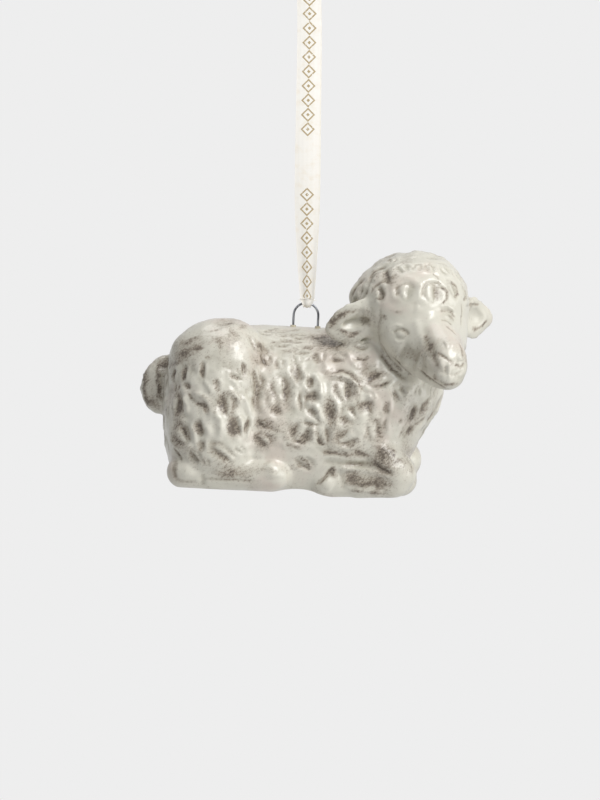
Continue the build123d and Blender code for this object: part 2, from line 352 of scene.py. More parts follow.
@dataclass(frozen=True)
class GrainGroup:
    """Fine and coarse mottling that several finishes share: a stretched noise broken by a fine one."""

    name: str = "mottled_grain"
    detail: float = 4.0
    fine_ratio: float = 4.2                     # how much finer the second noise is

    def tree(self) -> bpy.types.NodeTree:
        """Find or build the group.

        Returns:
            A group with inputs Vector, Scale and Roughness and outputs Grain and Fine.
        """
        found = bpy.data.node_groups.get(self.name)
        if found:
            return found
        desk = GroupDesk(self.name, {"Vector": "Vector", "Scale": "Float", "Roughness": "Float"},
                         ("Grain", "Fine"))
        scale = desk.start.outputs["Scale"]
        finer = desk.math("MULTIPLY", scale, self.fine_ratio)
        for output, cells, detail in (("Grain", scale, self.detail), ("Fine", finer, self.detail / 2)):
            texture = desk.add("ShaderNodeTexNoise", {"Detail": detail})
            desk.link(cells, texture.inputs["Scale"])
            desk.link(desk.start.outputs["Vector"], texture.inputs["Vector"])
            desk.link(desk.start.outputs["Roughness"], texture.inputs["Roughness"])
            desk.link(texture.outputs["Fac"], desk.end.inputs[output])
        return desk.tree

    def place(self, desk: NodeDesk, scale: float, vector: bpy.types.NodeSocket,
              roughness: float = 0.6) -> tuple[bpy.types.NodeSocket, bpy.types.NodeSocket]:
        """Add the group to a finish.

        Args:
            desk: The finish's tree.
            scale: Coarse noise cells per metre.
            vector: Where on the surface.
            roughness: How strong the smaller cells are.

        Returns:
            The sockets of the coarse and of the fine mottling.
        """
        node = desk.add("ShaderNodeGroup", node_tree=self.tree())
        node.inputs["Scale"].default_value = scale
        node.inputs["Roughness"].default_value = roughness
        desk.link(vector, node.inputs["Vector"])
        return node.outputs["Grain"], node.outputs["Fine"]


@dataclass(frozen=True)
class Glaze:
    """Off-white gloss glaze with a grey-brown wash that stays in the relief.

    A range gives the value where a mask starts and the one where it ends, then what it is there.
    """

    # light and shaded are lit and shaded copies of the glaze colour: painted shade that darkens pressed-in
    # relief and lightens raised relief
    light: Colour = tone(217, 214, 201)
    shaded: Colour = tone(190, 187, 172)
    blush: Colour = tone(211, 199, 187)
    wash: Colour = tone(146, 133, 117)
    dark_wash: Colour = tone(78, 67, 56)
    roughness: float = 0.32
    washed_roughness: float = 0.5
    coat: float = 0.38
    washed_coat: float = 0.12
    coat_roughness: float = 0.15
    index: float = 1.5                          # of refraction
    streak_scale: float = 1900.0                # brush marks per metre
    streak_roughness: float = 0.68
    streak_turn: float = -0.6                   # radians that they lean
    streak_stretch: float = 1.8
    coarse_share: float = 3.0
    fine_share: float = 2.6
    dryness: float = 2.8                        # of the brush: what the marks have to pass
    cloud_scale: float = 60.0
    # range of the relief over which the painted shade goes from the shaded to the light glaze
    relief_shade_range: tuple[float, ...] = (0.15, 0.62)
    blush_range: tuple[float, ...] = (0.5, 0.68, 0.0, 0.7)
    film_range: tuple[float, ...] = (0.15, 1.1, 0.0, 0.38)
    patch_range: tuple[float, ...] = (0.55, 1.1, 0.0, 0.66)
    deep_range: tuple[float, ...] = (1.08, 1.5, 0.0, 0.8)
    bump: float = 0.12
    bump_depth: float = 0.4 * MM
    wash_pit: float = 0.22                      # how deep a washed patch lies in the bump

    def material(self) -> bpy.types.Material:
        """Build the finish.

        Returns:
            The material, which reads the skin's wash and relief attributes.
        """
        desk = FinishDesk("wiped_glaze", {
            "Coat Roughness": self.coat_roughness, "IOR": self.index, "Coat IOR": self.index})
        place = desk.place()
        brushed = desk.turned(place, "TEXTURE", {"Rotation": (0.0, self.streak_turn, 0.0),
                                                 "Scale": (self.streak_stretch, 1.0, 1.0)})
        streak, fine_streak = GrainGroup().place(desk, self.streak_scale, brushed, self.streak_roughness)
        cloud, fine_cloud = GrainGroup().place(desk, self.cloud_scale, place)
        wash = desk.add("ShaderNodeAttribute", attribute_name="wash").outputs["Fac"]
        relief = desk.add("ShaderNodeAttribute", attribute_name="relief").outputs["Fac"]

        grain = desk.math("ADD", desk.math("MULTIPLY", streak, self.coarse_share),
                          desk.math("MULTIPLY", fine_streak, self.fine_share))
        laid = desk.math("ADD", wash, desk.math("SUBTRACT", grain, self.dryness))
        patch = desk.ramp(laid, *self.patch_range)
        # painted shade: the relief chooses between the shaded and the light glaze
        colour = desk.mix(desk.ramp(relief, *self.relief_shade_range), self.shaded, self.light)
        colour = desk.mix(desk.ramp(cloud, *self.blush_range), colour, self.blush)
        colour = desk.mix(desk.ramp(wash, *self.film_range), colour, self.wash)
        colour = desk.mix(patch, colour, self.wash)
        colour = desk.mix(desk.ramp(laid, *self.deep_range), colour, self.dark_wash)

        desk.surface(colour, desk.ramp(patch, 0.0, 1.0, self.roughness, self.washed_roughness))
        coat = desk.ramp(patch, 0.0, 1.0, self.coat, self.washed_coat)
        desk.link(coat, desk.shader.inputs["Coat Weight"])
        level = desk.math("SUBTRACT", fine_cloud, desk.math("MULTIPLY", patch, self.wash_pit))
        desk.bump(level, self.bump, self.bump_depth)
        return desk.material


@dataclass(frozen=True)
class DrawnSteel:
    """Plain drawn wire: bright grey with fine lengthwise scratches."""

    light: Colour = tone(176, 178, 182)
    dark: Colour = tone(88, 90, 96)
    scratch_scale: float = 2600.0
    scratch_roughness: float = 0.7
    scratch_stretch: float = 0.2
    scratch_range: tuple[float, ...] = (0.38, 0.62)
    gloss_range: tuple[float, ...] = (0.3, 0.7, 0.2, 0.42)
    bump: float = 0.2
    bump_depth: float = 0.02 * MM

    def material(self) -> bpy.types.Material:
        """Build the finish.

        Returns:
            The material.
        """
        desk = FinishDesk("drawn_steel", {"Metallic": 1.0})
        drawn = desk.turned(desk.place(), "POINT", {"Scale": (1.0, 1.0, self.scratch_stretch)})
        scratch, fine = GrainGroup().place(desk, self.scratch_scale, drawn, self.scratch_roughness)
        colour = desk.mix(desk.ramp(scratch, *self.scratch_range), self.dark, self.light)
        desk.surface(colour, desk.ramp(fine, *self.gloss_range))
        desk.bump(scratch, self.bump, self.bump_depth)
        return desk.material


@dataclass(frozen=True)
class SetGlue:
    """Clear glue, a little yellow and dusty, round each leg of the wire."""

    clear: Colour = tone(226, 219, 196)
    dusty: Colour = tone(186, 176, 152)
    grain_scale: float = 1400.0
    index: float = 1.52                         # of refraction
    coat: float = 0.4
    dust_range: tuple[float, ...] = (0.4, 0.65)
    gloss_range: tuple[float, ...] = (0.3, 0.7, 0.12, 0.3)

    def material(self) -> bpy.types.Material:
        """Build the finish.

        Returns:
            The material.
        """
        desk = FinishDesk("set_glue", {"IOR": self.index, "Coat Weight": self.coat})
        dust, fine = GrainGroup().place(desk, self.grain_scale, desk.place())
        colour = desk.mix(desk.ramp(dust, *self.dust_range), self.clear, self.dusty)
        desk.surface(colour, desk.ramp(fine, *self.gloss_range))
        return desk.material


@dataclass(frozen=True)
class WeaveGroup:
    """Satin weave: fine warp lines along the ribbon, crossed by finer weft."""

    name: str = "satin_weave"
    warp: float = 5200.0                        # radians per metre across the ribbon
    weft: float = 8400.0                        # radians per metre along it
    warp_height: float = 0.6
    weft_height: float = 0.25

    def tree(self) -> bpy.types.NodeTree:
        """Find or build the group.

        Returns:
            A group with input UV and output Height.
        """
        found = bpy.data.node_groups.get(self.name)
        if found:
            return found
        desk = GroupDesk(self.name, {"UV": "Vector"}, ("Height",))
        parts = desk.add("ShaderNodeSeparateXYZ")
        desk.link(desk.start.outputs["UV"], parts.inputs[0])
        waves = []
        for axis, rate, height in (("X", self.warp, self.warp_height), ("Y", self.weft, self.weft_height)):
            wave = desk.math("SINE", desk.math("MULTIPLY", parts.outputs[axis], rate))
            waves.append(desk.math("MULTIPLY", wave, height))
        desk.link(desk.math("ADD", waves[0], waves[1]), desk.end.inputs["Height"])
        return desk.tree


@dataclass(frozen=True)
class Satin:
    """Cream satin ribbon, plain or with rows of small foil lozenges down its middle."""

    printed: bool
    cloth: Colour = tone(254, 251, 244)
    shade: Colour = tone(248, 241, 228)
    foil: Colour = tone(190, 170, 130)
    pitch: float = 3.75 * MM                    # from one lozenge to the next
    half_length: float = 1.6 * MM
    half_width: float = 1.6 * MM
    line: float = 0.26 * MM
    heart: float = 0.3                          # the filled middle, as a share of the lozenge
    group: float = 54.5 * MM                    # a row of lozenges and the plain cloth after it
    row: float = 41.2 * MM
    start: float = 0.5 * MM
    worn: float = 0.36                          # fine mottling below which the foil has come off
    foil_metal: float = 0.4
    foil_gloss: float = 0.08                    # how much smoother the foil is than the cloth
    sheen: float = 0.35
    drawn: float = 0.5                          # how much the threads draw the highlights out
    grain_scale: float = 420.0
    shade_range: tuple[float, ...] = (0.45, 0.8)
    weave_range: tuple[float, ...] = (-0.8, 0.8, 0.36, 0.5)
    bump: float = 0.35
    bump_depth: float = 0.02 * MM

    def motif(self, desk: NodeDesk, uv: bpy.types.NodeSocket) -> bpy.types.NodeSocket:
        """Draw the foil as a mask.

        Args:
            desk: The finish's tree.
            uv: Place on the ribbon in metres, from its middle and along it.

        Returns:
            The mask's socket, 1 on the foil.
        """
        parts = desk.add("ShaderNodeSeparateXYZ")
        desk.link(uv, parts.inputs[0])
        across = desk.math("ABSOLUTE", parts.outputs["X"])
        place = desk.math("MODULO", desk.math("ADD", parts.outputs["Y"], self.start), self.group)
        between = desk.math("PINGPONG", place, self.pitch / 2)
        along = desk.math("SUBTRACT", self.pitch / 2, between)
        lozenge = desk.math("ADD", desk.math("DIVIDE", across, self.half_width),
                            desk.math("DIVIDE", along, self.half_length))
        rim = desk.math("ABSOLUTE", desk.math("SUBTRACT", lozenge, 1.0))
        outline = desk.math("LESS_THAN", rim, self.line / self.half_width)
        heart = desk.math("LESS_THAN", lozenge, self.heart)
        inside = desk.math("LESS_THAN", place, self.row)
        return desk.math("MULTIPLY", desk.math("MAXIMUM", outline, heart), inside)

    def material(self) -> bpy.types.Material:
        """Build the finish.

        Returns:
            The material, which reads the piece's own UV map.
        """
        desk = FinishDesk("printed_satin" if self.printed else "plain_satin", {
            "Sheen Weight": self.sheen, "Sheen Roughness": self.sheen, "Anisotropic": self.drawn})
        uv = desk.add("ShaderNodeUVMap", uv_map="ribbon").outputs["UV"]
        weave = desk.add("ShaderNodeGroup", node_tree=WeaveGroup().tree())
        desk.link(uv, weave.inputs["UV"])
        cloud, fine = GrainGroup().place(desk, self.grain_scale, uv)
        colour = desk.mix(desk.ramp(cloud, *self.shade_range), self.cloth, self.shade)
        roughness = desk.ramp(weave.outputs["Height"], *self.weave_range)
        if self.printed:
            left = desk.math("GREATER_THAN", fine, self.worn)
            mask = desk.math("MULTIPLY", self.motif(desk, uv), left)
            colour = desk.mix(mask, colour, self.foil)
            desk.link(desk.math("MULTIPLY", mask, self.foil_metal), desk.shader.inputs["Metallic"])
            smoother = desk.math("MULTIPLY", mask, self.foil_gloss)
            roughness = desk.math("SUBTRACT", roughness, smoother)
        desk.surface(colour, roughness)
        desk.bump(weave.outputs["Height"], self.bump, self.bump_depth)
        return desk.material


@dataclass(frozen=True)
class Softbox:
    """A square soft light that faces the sheep."""

    name: str
    direction: tuple[float, float, float]       # where it hangs, as seen from the sheep
    distance: float
    size: float
    watts: float

    def hang(self, middle: Vector) -> None:
        """Hang it so that it faces a place.

        Args:
            middle: The place.
        """
        data = bpy.data.lights.new(self.name, "AREA")
        data.size = self.size
        data.energy = self.watts
        light = bpy.data.objects.new(self.name, data)
        away = Vector(self.direction).normalized()
        light.location = middle + away * self.distance
        light.rotation_euler = (-away).to_track_quat("-Z", "Y").to_euler()
        bpy.context.scene.collection.objects.link(light)


@dataclass
class Studio:
    """Camera, soft lights and pale surroundings."""

    lens: float = 200.0
    sensor: float = 36.0
    clip_start: float = 0.01
    view_height: float = 208.0 * MM             # seen from top to bottom at the wire loop
    view_middle: Vector = field(default_factory=lambda: Vector((-1.56 * MM, 0.0, -109.2 * MM)))
    softboxes: tuple[Softbox, ...] = (
        Softbox("key", (0.52, -0.58, 0.66), 0.9, 0.5, 6.0),
        Softbox("top", (-0.10, 0.10, 1.0), 1.0, 0.6, 2.3),
        Softbox("right_fill", (1.0, -0.35, -0.1), 1.2, 0.7, 4.4),
        Softbox("left_fill", (-0.9, -0.8, 0.3), 1.3, 0.6, 0.5),
    )
    backdrop: Colour = tone(238, 238, 238)
    cast: float = 0.28                          # light that the surroundings throw on the sheep
    mirrored: float = 0.75                      # share of their full light that the glaze mirrors
    floor_drop: float = 0.3
    floor_radius: float = 0.7
    floor_sides: int = 96
    floor_roughness: float = 0.7

    def eye(self) -> Vector:
        """Where the camera stands."""
        return self.view_middle - Vector((0.0, self.view_height * self.lens / self.sensor, 0.0))

    def build(self) -> None:
        """Set up the camera, the lights, the surroundings and the floor."""
        self.place_camera()
        for softbox in self.softboxes:
            softbox.hang(self.view_middle)
        self.paint_world()
        self.lay_floor()
        bpy.context.scene.view_settings.view_transform = "Standard"

    def place_camera(self) -> None:
        """Make the camera at the photograph's angle."""
        data = bpy.data.cameras.new("camera")
        data.lens = self.lens
        data.sensor_width = self.sensor
        data.clip_start = self.clip_start
        camera = bpy.data.objects.new("camera", data)
        camera.location = self.eye()
        camera.rotation_euler = (math.pi / 2, 0.0, 0.0)
        bpy.context.scene.collection.objects.link(camera)
        bpy.context.scene.camera = camera

    def paint_world(self) -> None:
        """Pale surroundings, which light the sheep less than they show."""
        world = bpy.data.worlds.new("pale_studio")
        world.use_nodes = True
        desk = NodeDesk(world.node_tree)
        path = desk.add("ShaderNodeLightPath")
        seen = desk.add("ShaderNodeBackground", {"Color": self.backdrop, "Strength": 1.0})
        cast = desk.add("ShaderNodeBackground", {"Color": self.backdrop, "Strength": self.cast})
        mixed = desk.add("ShaderNodeMixShader")
        share = desk.math("MAXIMUM", path.outputs["Is Camera Ray"],
                          desk.math("MULTIPLY", path.outputs["Is Glossy Ray"], self.mirrored))
        desk.link(share, mixed.inputs[0])
        desk.link(cast.outputs[0], mixed.inputs[1])
        desk.link(seen.outputs[0], mixed.inputs[2])
        end = desk.add("ShaderNodeOutputWorld")
        desk.link(mixed.outputs[0], end.inputs["Surface"])
        bpy.context.scene.world = world

    def lay_floor(self) -> None:
        """A round pale floor well below the hanging sheep."""
        bm = bmesh.new()
        bmesh.ops.create_circle(bm, cap_ends=True, segments=self.floor_sides, radius=self.floor_radius)
        bmesh.ops.translate(bm, verts=bm.verts, vec=(0.0, 0.0, -self.floor_drop))
        floor = stand("floor", keep(bm, bpy.data.meshes.new("floor")))
        material = bpy.data.materials.new("pale_floor")
        material.use_nodes = True
        shader = material.node_tree.nodes["Principled BSDF"]
        shader.inputs["Base Color"].default_value = self.backdrop
        shader.inputs["Roughness"].default_value = self.floor_roughness
        floor.data.materials.append(material)


@dataclass(frozen=True)
class Contact:
    """A place on the skin and the directions that lie along it there."""

    point: Vector
    out: Vector
    up: Vector
    across: Vector


@dataclass(frozen=True)
class Tuft:
    """A lock of fleece: a shallow pit in the smooth swell, with a pointed leaf that stands in it.

    Its place is in pixels of the photograph, its half sizes in millimetres and its leans in degrees
    anticlockwise from upright.
    """

    x: float
    y: float
    across: float
    high: float
    lean: float = 0.0
    leaf: float = 0.0
    shift: float = 0.0                          # leaf off the middle, as a share of the half width
    wash: float = 0.9
    rim: float = 0.4
    depth: float = 0.56


@dataclass(frozen=True)
class TuftCut:
    """How every tuft is cut, in shares of its own half sizes."""

    reach: float = 1.8
    pit: float = 0.95
    rim: float = 1.3                            # middle of the rim that the pit throws up
    rim_width: float = 0.32
    rim_share: float = 0.5
    leaf_width: float = 0.38
    leaf_flare: float = 0.16                    # how much wider the leaf grows towards its tip
    leaf_length: float = 0.9
    leaf_limit: float = 1.1                     # the leaf ends inside the pit
    stain: float = 1.1
    wiped: float = 0.9                          # how clean the leaf is wiped
    shadow: float = 0.2                         # how much more wash stays on the left side, away from the light: partly painted shade
    full_size: float = 3.2 * MM                 # both half sizes of a tuft of full depth


@dataclass(frozen=True)
class Pull:
    """A pull on the soft skin at a place of the photograph: its reach and its way in millimetres."""

    x: float
    y: float
    reach: float
    right: float
    up: float


@dataclass(frozen=True)
class Line:
    """A soft ridge or groove through places of the photograph, its sizes in millimetres."""

    route: tuple[tuple[float, float], ...]
    width: float
    height: float = 0.0
    wash: float = 0.0
    wash_width: float = 0.4
    fade: float = 0.2                           # share of the line over which each end fades


@dataclass(frozen=True)
class Smudge:
    """A brushed dark patch at a place of the photograph, its half sizes in millimetres: most are wash, a few
    are painted shadow.
    """

    x: float
    y: float
    half_across: float
    half_up: float
    lean: float = 0.0
    strength: float = 0.6


@dataclass(frozen=True)
class Eye:
    """An eye's ball at a place of the photograph, its half sizes in millimetres."""

    x: float
    y: float
    half_across: float
    half_up: float
    lean: float


class Sculpture:
    """A skin worked with soft strokes, as clay is before it is fired and glazed."""

    layer = 2.4 * MM                            # how deep a single touch goes
    thick_layer = 1.0                           # metres: a stroke that goes as deep as it likes
    patch = 1.2 * MM                            # the patch whose mean direction counts as outward
    patch_limit = -0.2                          # the most that a point of it may face away
    pole_limit = 0.93                           # past this the skin faces up or down
    neutral = 0.5                               # relief of skin that is neither raised nor pressed
    dab_reach = 2.2                             # in half sizes of the dab
    stroke_reach = 3                            # in widths of the stroke
    waver_seed = 7
    end_wash = 0.3                              # share of the wash that stays where a stroke fades
    most_wash = 1.6
    least_run = 1e-18                           # square metres, for a run of no length
    cut = TuftCut()

    def __init__(self, obj: bpy.types.Object) -> None:
        """Start with no wash and no relief.

        Args:
            obj: The object whose mesh is the skin.
        """
        self.obj = obj
        self.read()
        self.wash = np.zeros(len(self.points))
        self.relief = np.full(len(self.points), self.neutral)
        self.lift = np.zeros(len(self.points))

    def read(self) -> None:
        """Read the skin's points, its outward directions and its search tree."""
        mesh = self.obj.data
        count = len(mesh.vertices)
        points = np.empty(count * 3, np.float32)
        normals = np.empty(count * 3, np.float32)
        mesh.vertices.foreach_get("co", points)
        mesh.vertex_normals.foreach_get("vector", normals)
        self.points = points.reshape(-1, 3).astype(float)
        self.normals = normals.reshape(-1, 3).astype(float)
        self.drawn = self.points
        bpy.context.view_layer.update()
        self.tree = BVHTree.FromObject(self.obj, bpy.context.evaluated_depsgraph_get())

    def write(self) -> None:
        """Write the moved points on the mesh and read it anew."""
        self.obj.data.vertices.foreach_set("co", self.points.astype(np.float32).ravel())
        self.obj.data.update()
        self.read()

    def waver(self, amount: float, reach: float) -> None:
        """Let the strokes that follow run unevenly, as a hand draws them.

        Args:
            amount: How far they stray.
            reach: Over what length.
        """
        noise.seed_set(self.waver_seed)         # without it, Blender seeds this noise by the clock
        strays = [noise.noise_vector(Vector(p) / reach) for p in self.points]
        self.drawn = self.points + np.array(strays) * amount

    def apply(self, full_relief: float) -> None:
        """Move the skin by what the strokes raised since the last time.

        Args:
            full_relief: Height that counts as a full change of the glaze's shade.
        """
        self.points += self.normals * self.lift[:, None]
        self.relief = np.clip(self.relief + self.lift / full_relief * self.neutral, 0, 1)
        self.lift[:] = 0
        self.write()

    def smooth(self, rounds: int) -> None:
        """Even the skin out.

        Args:
            rounds: How many times.
        """
        bm = bmesh.new()
        bm.from_mesh(self.obj.data)
        for _ in range(rounds):
            even_out(bm)
        keep(bm, self.obj.data)
        self.read()

    def contact(self, start: Vector, direction: Vector) -> Contact | None:
        """Find where a ray meets the skin.

        Args:
            start: Where the ray starts.
            direction: Where it goes.

        Returns:
            The contact, or None where the ray misses.
        """
        point, _, _, _ = self.tree.ray_cast(start, direction.normalized())
        if point is None:
            return None
        return self.contact_at(point, -direction.normalized())

    def contact_at(self, point: Vector, towards: Vector) -> Contact:
        """Describe the skin at one of its points.

        Args:
            point: The point.
            towards: Where the skin faces there, roughly.

        Returns:
            The contact.
        """
        close = np.linalg.norm(self.points - np.array(point), axis=1) < self.patch
        close &= self.normals @ np.array(towards) > self.patch_limit
        out = Vector(self.normals[close].mean(0)) if close.any() else towards.copy()
        out.normalize()
        pole = Vector((0.0, 0.0, 1.0))
        if abs(out.z) > self.pole_limit:
            pole = Vector((0.0, 1.0, 0.0))
        up = (pole - out * pole.dot(out)).normalized()
        return Contact(point.copy(), out, up, up.cross(out))

    def near(self, middle: np.ndarray, reach: float, out: Vector, layer: float) -> np.ndarray:
        """Find the points within reach of a place, on the side that faces out.

        Args:
            middle: The place.
            reach: How far away they may be.
            out: Outward direction there.
            layer: How far they may be before or behind the skin at the place.

        Returns:
            The points' numbers.
        """
        offset = self.drawn - middle
        close = np.linalg.norm(offset, axis=1) < reach
        close &= self.normals @ np.array(out) > 0.0
        close &= np.abs(offset @ np.array(out)) < layer
        return np.nonzero(close)[0]

    def local(self, contact: Contact, picked: np.ndarray, lean: float) -> tuple[np.ndarray, np.ndarray]:
        """Tell where points lie beside a contact.

        Args:
            contact: The contact.
            picked: The points' numbers.
            lean: Degrees by which the upright axis leans, anticlockwise.

        Returns:
            How far each point lies across and how far up.
        """
        offset = self.drawn[picked] - np.array(contact.point)
        right = offset @ np.array(contact.across)
        high = offset @ np.array(contact.up)
        turn = math.radians(lean)
        return (right * math.cos(turn) + high * math.sin(turn),
                high * math.cos(turn) - right * math.sin(turn))

    def pull(self, pulls: Sequence[tuple[Contact, Pull]]) -> None:
        """Pull the skin at several places at once.

        Args:
            pulls: Each pull with the contact where it takes hold.
        """
        way = np.zeros_like(self.points)
        for contact, move in pulls:
            away = np.linalg.norm(self.points - np.array(contact.point), axis=1) / (move.reach * MM)
            way += np.exp(-away ** 2)[:, None] * np.array((move.right, 0.0, move.up)) * MM
        self.points += way
        self.write()

    def stroke(self, points: Sequence[Vector], out: Vector, line: Line) -> None:
        """Raise or press a soft line and leave its wash.

        Args:
            points: Points on the skin that the line follows.
            out: Direction that the skin faces along it.
            line: Its widths, height and wash.
        """
        width = line.width * MM
        wash_width = line.wash_width * MM
        path = np.array([tuple(p) for p in points])
        middle = path.mean(0)
        spread = np.linalg.norm(path - middle, axis=1).max()
        picked = self.near(middle, spread + self.stroke_reach * max(width, wash_width), out,
                           self.thick_layer)
        if not len(picked):
            return
        places = self.drawn[picked]
        best = np.full(len(places), np.inf)
        along = np.zeros(len(places))
        for number, (start, end) in enumerate(zip(path[:-1], path[1:])):
            run = end - start
            share = np.clip((places - start) @ run / (run @ run + self.least_run), 0, 1)
            away = np.linalg.norm(places - start - share[:, None] * run, axis=1)
            closer = away < best
            best[closer] = away[closer]
            along[closer] = (number + share[closer]) / (len(path) - 1)
        taper = smooth_step(0, line.fade, along) * smooth_step(0, line.fade, 1 - along)
        self.lift[picked] += line.height * MM * np.exp(-(best / width) ** 2) * taper
        spot = line.wash * np.exp(-(best / wash_width) ** 2)
        spot *= self.end_wash + (1 - self.end_wash) * taper
        self.wash[picked] = np.maximum(self.wash[picked], spot)

    def dab(self, contact: Contact, half_across: float, half_up: float, height: float = 0.0,
            wash: float = 0.0, lean: float = 0.0, power: float = 2.0) -> None:
        """Raise or press an oval, or leave wash on it.

        Args:
            contact: Its middle.
            half_across: Half width across, in millimetres.
            half_up: Half width upwards, in millimetres.
            height: How far it is raised, in millimetres.
            wash: How much wash stays on it.
            lean: Degrees that its upright axis leans, anticlockwise.
            power: How flat its top is.
        """
        picked = self.near(np.array(contact.point), self.dab_reach * max(half_across, half_up) * MM,
                           contact.out, self.layer)
        side, rise = self.local(contact, picked, lean)
        away = np.sqrt((side / half_across / MM) ** 2 + (rise / half_up / MM) ** 2)
        spot = np.exp(-away ** power)
        self.lift[picked] += height * MM * spot
        self.wash[picked] += wash * spot

    def tuft(self, spot: Tuft, contact: Contact) -> None:
        """Press one pit with its rim and its leaf, and leave the wash beside the leaf.

        Args:
            spot: The tuft.
            contact: Its middle.
        """
        cut = self.cut
        across, high = spot.across * MM, spot.high * MM
        picked = self.near(np.array(contact.point), cut.reach * max(across, high), contact.out, self.layer)
        side, rise = self.local(contact, picked, spot.lean)
        side, rise = side / across, rise / high
        away = np.hypot(side, rise)
        turn = math.radians(spot.leaf)
        along = rise * math.cos(turn) - side * math.sin(turn)
        beside = side * math.cos(turn) + rise * math.sin(turn) - spot.shift
        width = cut.leaf_width + cut.leaf_flare * np.clip(along, -1, 1)
        leaf = np.exp(-(beside / width) ** 4) * np.exp(-(along / cut.leaf_length) ** 6)
        leaf *= np.exp(-(away / cut.leaf_limit) ** 6)
        pit = np.exp(-(away / cut.pit) ** 3)
        rim = np.exp(-((away - cut.rim) / cut.rim_width) ** 2) * spot.rim
        depth = spot.depth * min(1.0, (across + high) / cut.full_size) * MM
        self.lift[picked] += depth * (cut.rim_share * rim - pit + leaf)
        # painted shade: more of the tuft's wash on its left side, away from the light
        shadow = 1 - cut.shadow + cut.shadow * np.clip(-side, -1, 1)
        stain = spot.wash * np.exp(-(away / cut.stain) ** 4) * (1 - cut.wiped * leaf) * shadow
        self.wash[picked] = np.maximum(self.wash[picked], stain)

    def dress(self, material: bpy.types.Material) -> None:
        """Write the wash and the relief on the mesh and give it its finish.

        Args:
            material: The finish, which reads both.
        """
        mesh = self.obj.data
        for name, values in (("wash", self.wash), ("relief", self.relief)):
            layer = mesh.attributes.new(name, "FLOAT", "POINT")
            layer.data.foreach_set("value", np.clip(values, 0, self.most_wash).astype(np.float32))
        mesh.materials.clear()
        mesh.materials.append(material)
        mesh.shade_smooth()


